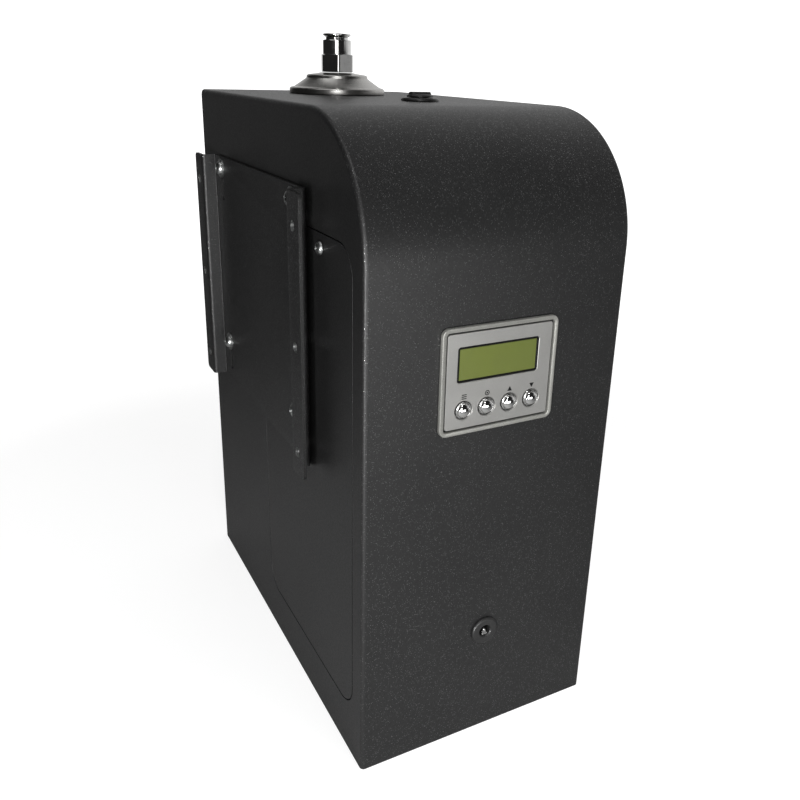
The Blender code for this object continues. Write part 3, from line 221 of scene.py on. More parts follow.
def rounded_outline(low, high, radii, grow=0.0, steps=8):
    """Points round a rectangle that is grown on every side.

    The radii, and the steps where they differ, belong to its low-low, high-low, high-high and
    low-high corners. A corner with no radius stays one sharp point.
    """
    radii = (radii,) * 4 if isinstance(radii, float) else radii
    steps = (steps,) * 4 if isinstance(steps, int) else steps
    corners = ((low[0], low[1], 1, 1), (high[0], low[1], -1, 1))
    corners += ((high[0], high[1], -1, -1), (low[0], high[1], 1, -1))
    outline = []
    for number, (u, v, to_u, to_v) in enumerate(corners):
        if radii[number] == 0.0:
            outline.append((u - to_u * grow, v - to_v * grow))
            continue
        bend = max(radii[number] + grow, 0.02 * MM)
        inset = bend - grow
        start = math.pi + number * math.pi / 2
        for step in range(steps[number] + 1):
            angle = start + step / steps[number] * math.pi / 2
            along_u, along_v = bend * math.cos(angle), bend * math.sin(angle)
            outline.append((u + to_u * inset + along_u, v + to_v * inset + along_v))
    return outline


def on_front(across, up, out):
    return (across, FRONT - out, up)


def on_left(across, up, out):
    return (LEFT - out, across, up)


def on_right(across, up, out):
    return (RIGHT + out, across, up)


def on_floor(across, up, out):
    return (across, up, -out)


def stacked(name, side, outline, profile, closed=False):
    """Lofts an outline along a profile of (grow, height out of the side) pairs."""
    loops = [[side(u, v, out) for u, v in outline(grow)] for grow, out in profile]
    return loft(name, loops, closed)


def rounded_block(name, side, low, high, radii, inner, outer, edge=0.25 * MM, steps=8):
    """A flat block with rounded corners in plan and rounded rims."""

    def outline(grow):
        return rounded_outline(low, high, radii, grow, steps)

    shy = edge * (1 - math.sqrt(0.5))
    profile = [
        (-edge, inner),
        (-shy, inner + shy),
        (0.0, inner + edge),
        (0.0, outer - edge),
        (-shy, outer - shy),
        (-edge, outer),
    ]
    return stacked(name, side, outline, profile)


def flared_opening(name, side, low, high, radii, depth, gap=0.0, lip=LIP, steps=8):
    """A cutter for an opening, larger by the gap, whose outer rim is rounded over by the lip."""

    def outline(grow):
        return rounded_outline(low, high, radii, gap + grow, steps)

    profile = [(lip * 1.6, lip * 0.9), (lip, 0.0), (lip * 0.35, -lip * 0.3), (0.0, -lip), (0.0, -depth)]
    return stacked(name, side, outline, profile)


def in_mm(*corners):
    """Corners that are written in millimetres, in metres."""
    return [tuple(value * MM for value in corner) for corner in corners]


def rounded_profile(corners, steps=3):
    """A profile of (radius, height, rounding) corners, with each corner rounded by that much."""
    points = []
    last = len(corners) - 1
    for index, (radius, height, rounding) in enumerate(corners):
        here = Vector((radius, height))
        if rounding == 0.0 or index in (0, last):
            points.append(tuple(here))
            continue
        before = Vector(corners[index - 1][:2]) - here
        after = Vector(corners[index + 1][:2]) - here
        reach = min(rounding, before.length * 0.48, after.length * 0.48)
        start = here + before.normalized() * reach
        end = here + after.normalized() * reach
        for step in range(steps + 1):
            t = step / steps
            points.append(tuple(start * (1 - t) ** 2 + here * 2 * t * (1 - t) + end * t**2))
    return points


def turned(name, corners, place, direction=(0, 0, 1), steps=72):
    """Turns (radius, height, rounding) corners about the direction through place."""
    profile = rounded_profile(corners)
    bm = bmesh.new()
    points = [bm.verts.new((radius, 0.0, height)) for radius, height in profile]
    edges = [bm.edges.new(pair) for pair in zip(points, points[1:])]
    if profile[0][0] > 0.0:
        edges.append(bm.edges.new((points[-1], points[0])))
    bmesh.ops.spin(
        bm, geom=points + edges, cent=(0, 0, 0), axis=(0, 0, 1), angle=math.tau, steps=steps, use_merge=True
    )
    bmesh.ops.remove_doubles(bm, verts=bm.verts, dist=0.001 * MM)
    bmesh.ops.recalc_face_normals(bm, faces=bm.faces)
    turn = Vector(direction).to_track_quat("Z", "Y").to_matrix().to_4x4()
    bmesh.ops.transform(bm, matrix=Matrix.Translation(place) @ turn, verts=bm.verts)
    return new_piece(name, bm)


def rod(name, radius, start, end, steps=32):
    start, end = Vector(start), Vector(end)
    long = (end - start).length
    corners = [(0.0, long, 0.0), (radius, long, 0.0), (radius, 0.0, 0.0), (0.0, 0.0, 0.0)]
    return turned(name, corners, start, end - start, steps)


def upright_rod(name, radius, axis, bottom, top, steps=32):
    return rod(name, radius, (axis[X], axis[Y], bottom), (axis[X], axis[Y], top), steps)


def finish_piece(piece, body, slot, *nodes, material=None):
    """Gives the piece its body, and its slot's material or its own, and hides the CAD nodes that it
    stands for."""
    piece.data.materials.clear()
    piece.data.materials.append(material or SLOT_MATERIALS[slot])
    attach(piece, body)
    if nodes:
        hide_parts(*nodes)
    return piece


# Materials


class Surface:
    """A Principled material that is put together from texture nodes in object coordinates."""

    def __init__(self, name, **sockets):
        self.material = bpy.data.materials.new(name)
        self.material.use_nodes = True
        self.tree = self.material.node_tree
        self.shader = self.tree.nodes["Principled BSDF"]
        for socket, value in sockets.items():
            self.shader.inputs[socket.replace("_", " ")].default_value = value
        self.place = self.node("ShaderNodeTexCoord").outputs["Object"]

    def node(self, kind, inputs=None, **settings):
        made = self.tree.nodes.new(kind)
        for key, value in settings.items():
            setattr(made, key, value)
        for key, value in (inputs or {}).items():
            if isinstance(value, bpy.types.NodeSocket):
                self.tree.links.new(value, made.inputs[key])
            else:
                made.inputs[key].default_value = value
        return made

    def stretched(self, scale):
        """The object coordinates, scaled by a different amount along each axis."""
        return self.node("ShaderNodeMapping", {"Vector": self.place, "Scale": scale}).outputs["Vector"]

    def noise(self, size, detail=3.0, roughness=0.55, place=None):
        """Cloudy noise whose features are about the size, in metres."""
        inputs = {
            "Vector": place or self.place,
            "Scale": 1.0 / size,
            "Detail": detail,
            "Roughness": roughness,
        }
        return self.node("ShaderNodeTexNoise", inputs).outputs["Fac"]

    def cells(self, size, feature="F1", output="Distance"):
        inputs = {"Vector": self.place, "Scale": 1.0 / size}
        return self.node("ShaderNodeTexVoronoi", inputs, feature=feature).outputs[output]

    def range(self, value, low, high, to_low, to_high):
        """Maps the value from one range to another, and holds it there."""
        inputs = {"Value": value, "From Min": low, "From Max": high, "To Min": to_low, "To Max": to_high}
        return self.node("ShaderNodeMapRange", inputs).outputs["Result"]

    def channel(self, colour, name):
        return self.node("ShaderNodeSeparateColor", {"Color": colour}).outputs[name]

    def maths(self, operation, first, second=0.0):
        return self.node("ShaderNodeMath", {0: first, 1: second}, operation=operation).outputs[0]

    def mix(self, share, first, second):
        """A colour between two colours."""
        made = self.node("ShaderNodeMix", data_type="RGBA")
        for key, value in ((0, share), (6, first), (7, second)):
            if isinstance(value, bpy.types.NodeSocket):
                self.tree.links.new(value, made.inputs[key])
            else:
                made.inputs[key].default_value = (*value, 1.0) if isinstance(value, tuple) else value
        return made.outputs[2]

    def bump(self, height, distance, strength=1.0, after=None):
        inputs = {"Height": height, "Distance": distance, "Strength": strength}
        if after is not None:
            inputs["Normal"] = after
        return self.node("ShaderNodeBump", inputs).outputs["Normal"]

    def tilted(self, normal, shade, amount):
        """Leans the normal by a different random amount in each cell of the shade."""
        lean = self.node("ShaderNodeVectorMath", {0: shade, 1: (0.5, 0.5, 0.5)}, operation="SUBTRACT")
        scaled = self.node("ShaderNodeVectorMath", {0: lean.outputs[0], "Scale": amount}, operation="SCALE")
        both = self.node("ShaderNodeVectorMath", {0: normal, 1: scaled.outputs[0]}, operation="ADD")
        return self.node("ShaderNodeVectorMath", {0: both.outputs[0]}, operation="NORMALIZE").outputs[0]

    def drive(self, socket, value):
        self.tree.links.new(value, self.shader.inputs[socket])

    def colour(self, value, low, high, first, second):
        """Goes from the first colour to the second as the value goes from low to high."""
        self.drive("Base Color", self.mix(self.range(value, low, high, 0.0, 1.0), first, second))

    def roughness(self, *mapping):
        self.drive("Roughness", self.range(*mapping))

    def relief(self, *bumps):
        self.drive("Normal", self.bump(*bumps))


def powder_coat():
    """Black fine-textured powder coat, with small bright flakes that lie at all angles in it."""
    coat = Surface("powder_coat", Specular_IOR_Level=0.5)
    clouds = coat.noise(45 * MM, 3.0)
    grain = coat.noise(0.7 * MM, 3.0, 0.6)
    pebbles = coat.cells(0.55 * MM)
    cloudy = coat.range(clouds, 0.35, 0.65, 0.0, 1.0)
    base = coat.mix(cloudy, (0.0055, 0.0055, 0.0057), (0.0080, 0.0080, 0.0081))
    mottled = coat.mix(coat.range(grain, 0.4, 0.65, 0.0, 0.6), base, (0.012, 0.012, 0.012))
    flake_pitch = 0.42 * MM
    flake_shade = coat.cells(flake_pitch, output="Color")
    flake_pick = coat.channel(flake_shade, "Red")
    near = coat.range(coat.cells(flake_pitch), 0.24, 0.4, 1.0, 0.0)
    flakes = coat.maths("MULTIPLY", near, coat.range(flake_pick, 0.84, 0.9, 0.0, 1.0))
    coat.drive("Base Color", coat.mix(flakes, mottled, (0.26, 0.26, 0.26)))
    coat.drive("Metallic", flakes)
    rough = coat.range(grain, 0.35, 0.7, 0.49, 0.39)
    coat.drive("Roughness", coat.maths("SUBTRACT", rough, coat.maths("MULTIPLY", flakes, 0.2)))
    textured = coat.bump(grain, 0.1 * MM, 0.5, coat.bump(pebbles, 0.05 * MM, 0.5))
    coat.drive("Normal", coat.tilted(textured, flake_shade, coat.maths("MULTIPLY", flakes, 0.35)))
    return coat.material


def brushed_steel(name, colour, centre, roughness=0.3):
    """Steel turned on a lathe: fine rings about an upright axis through centre."""
    steel = Surface(name, Metallic=1.0)
    from_axis = steel.node("ShaderNodeVectorMath", {0: steel.place, 1: (*centre, 0.0)}, operation="SUBTRACT")
    apart = steel.node("ShaderNodeSeparateXYZ", {"Vector": from_axis.outputs[0]})
    flat = steel.node("ShaderNodeCombineXYZ", {"X": apart.outputs["X"], "Y": apart.outputs["Y"]})
    radius = steel.node("ShaderNodeVectorMath", {0: flat.outputs[0]}, operation="LENGTH").outputs["Value"]
    along = steel.node("ShaderNodeCombineXYZ", {"X": radius, "Y": apart.outputs["Z"]})
    lines = steel.noise(0.12 * MM, 4.0, 0.7, along.outputs[0])
    smears = steel.noise(9 * MM, 3.0)
    dark = tuple(channel * 0.72 for channel in colour)
    steel.colour(lines, 0.3, 0.7, dark, colour)
    base = steel.range(lines, 0.3, 0.7, roughness - 0.08, roughness + 0.08)
    steel.drive("Roughness", steel.maths("ADD", base, steel.range(smears, 0.35, 0.65, -0.03, 0.05)))
    steel.relief(lines, 0.02 * MM, 0.35)
    return steel.material


def polished(name, colour):
    """Plated metal with faint smears and hairline scratches."""
    plate = Surface(name, Metallic=1.0)
    smears = plate.noise(5 * MM, 4.0, 0.6)
    hairlines = plate.noise(0.3 * MM, 2.0, 0.5, plate.stretched((1.0, 1.0, 9.0)))
    dull = tuple(channel * 0.9 for channel in colour)
    plate.colour(smears, 0.4, 0.65, colour, dull)
    base = plate.range(smears, 0.35, 0.7, 0.06, 0.13)
    plate.drive("Roughness", plate.maths("ADD", base, plate.range(hairlines, 0.55, 0.75, 0.0, 0.06)))
    plate.relief(hairlines, 0.004 * MM, 0.2)
    return plate.material


def zinc_plate():
    """Bright zinc with pale and dull patches."""
    zinc = Surface("zinc_plate", Metallic=1.0)
    patches = zinc.channel(zinc.cells(3.5 * MM, output="Color"), "Green")
    haze = zinc.noise(6 * MM, 4.0, 0.6)
    tone = zinc.range(patches, 0.0, 1.0, 0.35, 1.0)
    tone = zinc.maths("MULTIPLY", tone, zinc.range(haze, 0.3, 0.7, 0.5, 1.0))
    zinc.drive("Base Color", zinc.mix(tone, (0.3, 0.31, 0.31), (0.55, 0.56, 0.55)))
    zinc.roughness(haze, 0.3, 0.7, 0.24, 0.42)
    zinc.relief(zinc.noise(0.35 * MM, 3.0), 0.02 * MM, 0.3)
    return zinc.material


def satin_silver(name, dark, light, roughness):
    """Silver paint on a moulded plastic part: fine metal flakes under a satin coat."""
    paint = Surface(name, Metallic=0.55, Coat_Weight=0.25, Coat_Roughness=0.25)
    flake_tone = paint.channel(paint.cells(0.12 * MM, output="Color"), "Blue")
    clouds = paint.noise(14 * MM, 2.0)
    tone = paint.range(flake_tone, 0.0, 1.0, 0.75, 1.0)
    tone = paint.maths("MULTIPLY", tone, paint.range(clouds, 0.3, 0.7, 0.8, 1.0))
    paint.drive("Base Color", paint.mix(tone, dark, light))
    paint.roughness(flake_tone, 0.0, 1.0, roughness - 0.03, roughness + 0.04)
    paint.relief(paint.noise(0.18 * MM, 2.0), 0.004 * MM, 0.25)
    return paint.material


def moulded_plastic(name, dark, light, roughness, grain_size=0.25 * MM, shine=0.45):
    """Moulded plastic with a fine spark-eroded grain."""
    plastic = Surface(name, Specular_IOR_Level=shine)
    grain = plastic.noise(grain_size, 3.0, 0.6)
    clouds = plastic.noise(12 * MM, 3.0)
    plastic.colour(clouds, 0.3, 0.7, dark, light)
    plastic.roughness(grain, 0.3, 0.7, roughness + 0.08, roughness - 0.08)
    plastic.relief(grain, 0.03 * MM, 0.45)
    return plastic.material


def rubbery(name, dark, light):
    """Matt rubber, with dust in its grain."""
    rubber = Surface(name, Specular_IOR_Level=0.3)
    grain = rubber.noise(0.3 * MM, 3.0, 0.65)
    dust = rubber.noise(8 * MM, 5.0, 0.65)
    rubber.colour(dust, 0.42, 0.75, dark, light)
    rubber.roughness(dust, 0.3, 0.7, 0.66, 0.85)
    rubber.relief(grain, 0.04 * MM, 0.5)
    return rubber.material


def cast_metal():
    """Grey die casting with pores and flow marks. The pores are dents, painted darker inside as painted
    shade.
    """
    metal = Surface("cast_metal", Metallic=0.9)
    flow = metal.noise(7 * MM, 4.0, 0.6)
    grain = metal.noise(0.5 * MM, 4.0, 0.7)
    pores_with_painted_shade = metal.range(metal.cells(1.6 * MM), 0.0, 0.14, 0.0, 1.0)
    toned = metal.mix(metal.range(flow, 0.3, 0.7, 0.0, 1.0), (0.3, 0.31, 0.32), (0.48, 0.49, 0.5))
    # painted shade: the pores are painted dark as well as dented
    metal.drive("Base Color", metal.mix(pores_with_painted_shade, (0.16, 0.16, 0.17), toned))
    metal.roughness(grain, 0.3, 0.7, 0.38, 0.56)
    metal.relief(grain, 0.08 * MM, 0.5, metal.bump(pores_with_painted_shade, 0.05 * MM, 0.5))
    return metal.material


def display_film():
    """Olive liquid-crystal glass: a faint pixel grid under a smooth front."""
    film = Surface("display_film", Coat_Weight=0.6, Coat_Roughness=0.05, Roughness=0.35)
    low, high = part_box("display_glass")
    apart = film.node("ShaderNodeSeparateXYZ", {"Vector": film.place})
    drift = film.range(apart.outputs["X"], low[X], high[X], 0.0, 1.0)
    clouds = film.noise(9 * MM, 2.0)
    base = film.mix(drift, (0.104, 0.126, 0.020), (0.096, 0.116, 0.025))
    toned = film.mix(film.range(clouds, 0.35, 0.65, 0.0, 0.5), base, (0.090, 0.110, 0.018))
    pixel = 0.55 * MM
    lines = []
    for axis in ("X", "Z"):
        phase = film.maths("FRACT", film.maths("DIVIDE", apart.outputs[axis], pixel))
        lines.append(film.range(phase, 0.0, 0.16, 1.0, 0.0))
    grid = film.maths("MAXIMUM", *lines)
    film.drive("Base Color", film.mix(film.maths("MULTIPLY", grid, 0.22), toned, (0.15, 0.175, 0.04)))
    film.roughness(clouds, 0.3, 0.7, 0.28, 0.4)
    return film.material


def circuit_board():
    """Green solder mask over copper tracks."""
    board = Surface("circuit_board", Coat_Weight=0.4, Coat_Roughness=0.2)
    blocks = board.node(
        "ShaderNodeTexBrick",
        {"Vector": board.stretched((1.0, 0.0, 1.0)), "Scale": 60.0, "Mortar Size": 0.045},
    ).outputs["Fac"]
    weave = board.noise(0.8 * MM, 3.0, 0.6, board.stretched((1.0, 1.0, 3.0)))
    green = board.mix(board.range(weave, 0.3, 0.7, 0.0, 1.0), (0.008, 0.075, 0.03), (0.014, 0.11, 0.045))
    board.drive("Base Color", board.mix(board.maths("MULTIPLY", blocks, 0.8), green, (0.03, 0.2, 0.08)))
    board.roughness(weave, 0.3, 0.7, 0.32, 0.45)
    board.relief(blocks, 0.03 * MM, 0.5)
    return board.material


def milky(name, colour, deep, roughness, light_through):
    """Cloudy plastic or silicone that lets some light into its surface."""
    plastic = Surface(name, Subsurface_Weight=light_through, Subsurface_Scale=2 * MM)
    haze = plastic.noise(10 * MM, 4.0, 0.6)
    grain = plastic.noise(0.5 * MM, 2.0)
    plastic.colour(haze, 0.3, 0.7, deep, colour)
    plastic.roughness(haze, 0.3, 0.7, roughness + 0.06, roughness - 0.06)
    plastic.relief(grain, 0.015 * MM, 0.3)
    return plastic.material


PLATE_SILVER = satin_silver("plate_silver", (0.19, 0.19, 0.18), (0.345, 0.342, 0.33), 0.4)
INK = moulded_plastic("black_ink", (0.004, 0.004, 0.004), (0.008, 0.008, 0.008), 0.4, 0.08 * MM, 0.12)
SLOT_MATERIALS = {
    "black_paint": powder_coat(),
    "zinc": zinc_plate(),
    "steel": brushed_steel("turned_steel", (0.60, 0.59, 0.57), OUTLET_AXIS),
    "chrome": polished("bright_plating", (0.80, 0.80, 0.79)),
    "silver_paint": satin_silver("frame_silver", (0.19, 0.19, 0.175), (0.35, 0.35, 0.325), 0.3),
    "display": display_film(),
    "white_plastic": moulded_plastic("white_moulding", (0.68, 0.68, 0.65), (0.78, 0.78, 0.75), 0.4),
    "black_plastic": moulded_plastic("black_moulding", (0.01, 0.01, 0.01), (0.022, 0.022, 0.022), 0.36),
    "rubber": rubbery("black_rubber", (0.018, 0.018, 0.018), (0.045, 0.044, 0.042)),
    "silicone": milky("clear_silicone", (0.74, 0.76, 0.74), (0.6, 0.63, 0.62), 0.3, 0.5),
    "brass": brushed_steel("turned_brass", (0.72, 0.50, 0.19), OUTLET_AXIS, 0.24),
    "cast_metal": cast_metal(),
    "bottle_plastic": milky("bottle_plastic", (0.80, 0.80, 0.77), (0.70, 0.71, 0.69), 0.32, 0.35),
    "board": circuit_board(),
}


def paint_frame():
    """Gives every CAD node the finish of its slot, also those that a finer piece stands for."""
    for subpart in frame["record"]["subparts"]:
        node = frame["nodes"][subpart["node"]]
        node.data.materials.clear()
        node.data.materials.append(SLOT_MATERIALS[subpart["material_slot"]])


# The case


def case_solid(name, inset, bottom, bend):
    """The case's side outline swept across its width, with the side edges rounded by the bend."""
    half = RIGHT - inset
    bend_steps, arch_steps = 5, 48
    sections = []
    for step in range(bend_steps + 1):
        angle = step / bend_steps * math.pi / 2
        sections.append((half - bend * (1 - math.sin(angle)), -bend * (1 - math.cos(angle))))
    sections = [(-x, grow) for x, grow in reversed(sections)] + sections
    loops = []
    for x, grow in sections:
        low = (FRONT + inset - grow, bottom)
        high = (BACK - inset + grow, ROOF - inset + grow)
        radii = (0.0, 0.0, bend, ROOF_RADIUS - inset + grow)
        outline = rounded_outline(low, high, radii, 0.0, (0, 0, 4, arch_steps))
        loops.append([(x, y, z) for y, z in outline])
    return loft(name, loops)


def make_case():
    """The bent sheet, with its openings rounded over at the rims, and its inner lugs."""
    case = case_solid("case_shell", 0.0, 0.0, BEND)
    inside = case_solid("case_inside", SHEET, -10 * MM, BEND - SHEET)
    depth = 4 * MM
    panel_gap = flared_opening("panel_gap", on_left, *PANEL, PANEL_CORNER, depth, SEAM, steps=12)
    door_gap = flared_opening("door_gap", on_right, *DOOR, DOOR_CORNERS, depth, SEAM, steps=DOOR_STEPS)
    control_gap = flared_opening("control_gap", on_front, *CONTROL_GAP, 2 * MM, depth)
    cut(case, inside, panel_gap, door_gap, control_gap)
    for name, middle, radius in (("lock_hole", LOCK_AXIS, 6.8 * MM), ("outlet_hole", OUTLET_AXIS, 8.4 * MM)):
        cut(case, upright_rod(name, radius, middle, ROOF - depth, ROOF + MM))
    cut(case, rod("jack_hole", 5.9 * MM, (JACK_X, FRONT - MM, JACK_Z), (JACK_X, FRONT + depth, JACK_Z)))
    lugs = []
    for x, y in BASE_SCREWS:
        outer = (math.copysign(RIGHT - SHEET / 2, x), math.copysign(BACK - SHEET / 2, y))
        inner = (x - math.copysign(7 * MM, x), y - math.copysign(7 * MM, y))
        low = (min(outer[X], inner[X]), min(outer[Y], inner[Y]), 1.8 * MM)
        high = (max(outer[X], inner[X]), max(outer[Y], inner[Y]), 9.8 * MM)
        lugs.append(cuboid("lug", low, high))
    join(case, *lugs)
    even_shading(case)
    finish_piece(case, "case", "black_paint", "housing")


def make_service_cover():
    """The left side's cover, with the hooks that it has inside and the welds that hold them."""
    cover = rounded_block("service_cover", on_left, *PANEL, PANEL_CORNER, -SHEET, 0.0, LIP, 12)
    hook_in = LEFT + 2 * SHEET + SEAT
    hooks = []
    for y in (PANEL[0][0] + 30 * MM, PANEL[1][0] - 30 * MM):
        low = (LEFT + SHEET + SEAT, y - 8 * MM, PANEL[0][1] - 10 * MM)
        hooks.append(cuboid("hook", low, (hook_in, y + 8 * MM, PANEL[0][1] + 11 * MM)))
        low = (LEFT + SHEET / 2, y - 7 * MM, PANEL[0][1] + 2 * MM)
        hooks.append(cuboid("hook_weld", low, (hook_in - SHEET / 2, y + 7 * MM, PANEL[0][1] + 10 * MM)))
    join(cover, *hooks)
    even_shading(cover)
    finish_piece(cover, "case", "black_paint", "service_panel")


def make_base():
    low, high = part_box("base_plate")
    base = rounded_block("base_cover", on_floor, low[:2], high[:2], 1.5 * MM, -high[Z], -low[Z], 0.2 * MM, 4)
    sinks = []
    for x, y in BASE_SCREWS:
        sink = in_mm((0.0, 2, 0), (1.8, 2, 0), (1.8, 1.4, 0), (3.5, -0.3, 0), (0.0, -0.3, 0))
        sinks.append(turned("sink", sink, (x, y, 0.0), steps=32))
    cut(base, *sinks)
    even_shading(base)
    finish_piece(base, "case", "black_paint", "base_plate")


# Screws


def cross_recess(name, place, direction, top, size, depth, spin):
    """A cross-shaped cutter that goes down from the top of a screw head."""
    turn = Vector(direction).to_track_quat("Z", "Y").to_matrix().to_4x4() @ Matrix.Rotation(spin, 4, "Z")
    arms = []
    for number in range(2):
        long, wide = (size, size * 0.26) if number == 0 else (size * 0.26, size)
        high = [(x * long / 2, y * wide / 2, top + MM) for x, y in ((-1, -1), (1, -1), (1, 1), (-1, 1))]
        low = [(x * 0.62, y * 0.62, top - depth) for x, y, _ in high]
        arm = loft(f"{name}_{number}", [low, high])
        arm.data.transform(Matrix.Translation(place) @ turn)
        arms.append(arm)
    return arms


def pan_screw(name, place, direction, head_radius, washer_radius, shank, long, spin=0.4):
    """A cross-head pan screw, over its washer where it has one. Heights start at the clamped face."""
    base = 0.9 * MM if washer_radius else SEAT
    tall = head_radius * 0.66
    corners = [
        (0.0, base + tall, 0.0),
        (head_radius * 0.45, base + tall * 0.97, head_radius * 0.3),
        (head_radius * 0.86, base + tall * 0.62, head_radius * 0.34),
        (head_radius, base + 0.25 * MM, 0.3 * MM),
        (head_radius, base, 0.1 * MM),
    ]
    if washer_radius:
        corners += [(washer_radius, base, 0.15 * MM), (washer_radius, 0.05 * MM, 0.12 * MM)]
    else:
        corners += [(shank + 0.3 * MM, base, 0.0)]
    corners += [(shank, 0.05 * MM, 0.0), (shank, -long, 0.3 * MM), (0.0, -long, 0.0)]
    screw = turned(name, corners, place, direction, 40)
    cut(screw, *cross_recess(name, place, direction, base + tall, head_radius * 1.15, tall * 0.7, spin))
    return screw


def make_screws():
    bracket_face = LEFT - SEAT - BRACKET_SHEET
    for number, middle in enumerate(BRACKET_SCREWS, 1):
        place = (bracket_face, middle[Y], middle[Z])
        name, spin = f"hanger_screw_{number}", 0.5 * number
        screw = pan_screw(name, place, (-1, 0, 0), 3.6 * MM, 5.0 * MM, 1.9 * MM, 11 * MM, spin)
        finish_piece(screw, "case", "zinc", f"bracket_screw_{number}")
    middle = middle_of("service_panel_screw")
    place = (LEFT, middle[Y], middle[Z])
    screw = pan_screw("cover_screw", place, (-1, 0, 0), 2.9 * MM, 0.0, 1.5 * MM, 5 * MM)
    finish_piece(screw, "case", "zinc", "service_panel_screw")
    for number, (x, y) in enumerate(BASE_SCREWS, 1):
        corners = in_mm((0, -0.3, 0), (2.8, -0.3, 0.12), (1.5, -1.6, 0), (1.5, -9, 0.2), (0, -9, 0))
        name = f"base_cover_screw_{number}"
        screw = turned(name, corners, (x, y, 0.0), (0, 0, -1), 32)
        cut(screw, *cross_recess(name, (x, y, 0.0), (0, 0, -1), -0.3 * MM, 2.9 * MM, 1.2 * MM, 0.7 * number))
        finish_piece(screw, "case", "zinc", f"base_screw_{number}")


# The wall bracket


def bent_strip(path, thickness, radius):
    """The closed outline of a strip that is bent at right angles along the path of (x, y) corners."""
    corners = [Vector(corner) for corner in path]
    steps = 8
    middle = [corners[0]]
    for before, here, after in zip(corners, corners[1:], corners[2:]):
        back = (before - here).normalized() * radius
        ahead = (after - here).normalized() * radius
        for step in range(steps + 1):
            angle = step / steps * math.pi / 2
            middle.append(here + back * (1 - math.sin(angle)) + ahead * (1 - math.cos(angle)))
    middle.append(corners[-1])
    sides = []
    for side in (1, -1):
        for before, point, after in zip([middle[0], *middle], middle, [*middle[1:], middle[-1]]):
            ahead = (after - before).normalized()
            sides.append((side, point + Vector((-ahead.y, ahead.x)) * side * thickness / 2))
    left = [point for side, point in sides if side == 1]
    right = [point for side, point in sides if side == -1]
    return left + right[::-1]


def make_bracket():
    """A hat-section strip, with slots at its screws and three holes down each ear."""
    low, high = BRACKET_LOW, BRACKET_HIGH
    ear_x = low[X] + BRACKET_SHEET / 2
    crown_x = high[X] - BRACKET_SHEET / 2
    web_front, web_back = low[Y] + EAR_WIDTH, high[Y] - EAR_WIDTH
    path = [(ear_x, low[Y]), (ear_x, web_front), (crown_x, web_front)]
    path += [(crown_x, web_back), (ear_x, web_back), (ear_x, high[Y])]
    outline = bent_strip(path, BRACKET_SHEET, 1.1 * MM)
    bracket = loft("wall_hanger", [[(x, y, z) for x, y in outline] for z in (low[Z], high[Z])])
    trim = rounded_outline(low[1:], high[1:], 2.5 * MM)
    trim_loops = [[(x, y, z) for y, z in trim] for x in (low[X] - MM, high[X] + MM)]
    combine(bracket, "INTERSECT", loft("trim", trim_loops))
    cutters = []
    slot_half = 2.3 * MM
    for middle in BRACKET_SCREWS:
        slot_low = (middle[Y] - slot_half, middle[Z] - 17 * MM)
        slot_high = (middle[Y] + slot_half, middle[Z] + slot_half)
        slot = rounded_outline(slot_low, slot_high, slot_half - 0.05 * MM)
        slot_loops = [[(x, y, z) for y, z in slot] for x in (crown_x - 2 * MM, crown_x + 2 * MM)]
        cutters.append(loft("slot", slot_loops))
    holes = [(y, low[Z] + share * (high[Z] - low[Z])) for y in EAR_HOLE_DEPTHS for share in EAR_HOLE_SHARES]
    for y, z in holes:
        cutters.append(rod("ear_hole", EAR_HOLE_RADIUS, (ear_x - 2 * MM, y, z), (ear_x + 2 * MM, y, z), 28))
    cut(bracket, *cutters)
    soften(bracket, 0.22 * MM)
    finish_piece(bracket, "case", "black_paint", "wall_bracket")
    bracket.data.materials.append(SLOT_MATERIALS["zinc"])
    for face in bracket.data.polygons:
        for y, z in holes:
            if math.dist((face.center.y, face.center.z), (y, z)) < EAR_HOLE_RADIUS + 0.2 * MM:
                face.material_index = 1


# The door and its hinges


def make_door():
    door = rounded_block("door_skin", on_right, *DOOR, DOOR_CORNERS, -SHEET, 0.0, LIP, DOOR_STEPS)
    even_shading(door)
    finish_piece(door, "door", "black_paint", "side_door")
    for side in ("upper", "lower"):
        low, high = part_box(f"hinge_leaf_{side}")
        third = (high[Z] - low[Z]) / 3
        axis = middle_of(f"hinge_pin_{side}")
        bottom = (low[Z] + high[Z] - third) / 2 + SEAT
        top = (low[Z] + high[Z] + third) / 2 - SEAT
        leaf_low = (RIGHT - SHEET / 2, DOOR[1][0] - LEAF_WIDTH, low[Z])
        leaf_high = (RIGHT + MM, axis[Y] - KNUCKLE_RADIUS - 0.4 * MM, high[Z])
        leaf = cuboid(f"door_hinge_leaf_{side}", leaf_low, leaf_high)
        arm_low = (RIGHT + 0.05 * MM, axis[Y] - KNUCKLE_RADIUS - MM, bottom)
        arm = cuboid("arm", arm_low, (RIGHT + 1.1 * MM, axis[Y], top))
        join(leaf, arm, upright_rod("knuckle", KNUCKLE_RADIUS, axis, bottom, top, 36))
        cut(leaf, upright_rod("bore", PIN_HOLE_RADIUS, axis, low[Z] - MM, high[Z] + MM, 28))
        soften(leaf, 0.18 * MM)
        finish_piece(leaf, "door", "black_paint")
        make_fixed_leaf(side, low, high, axis, third)


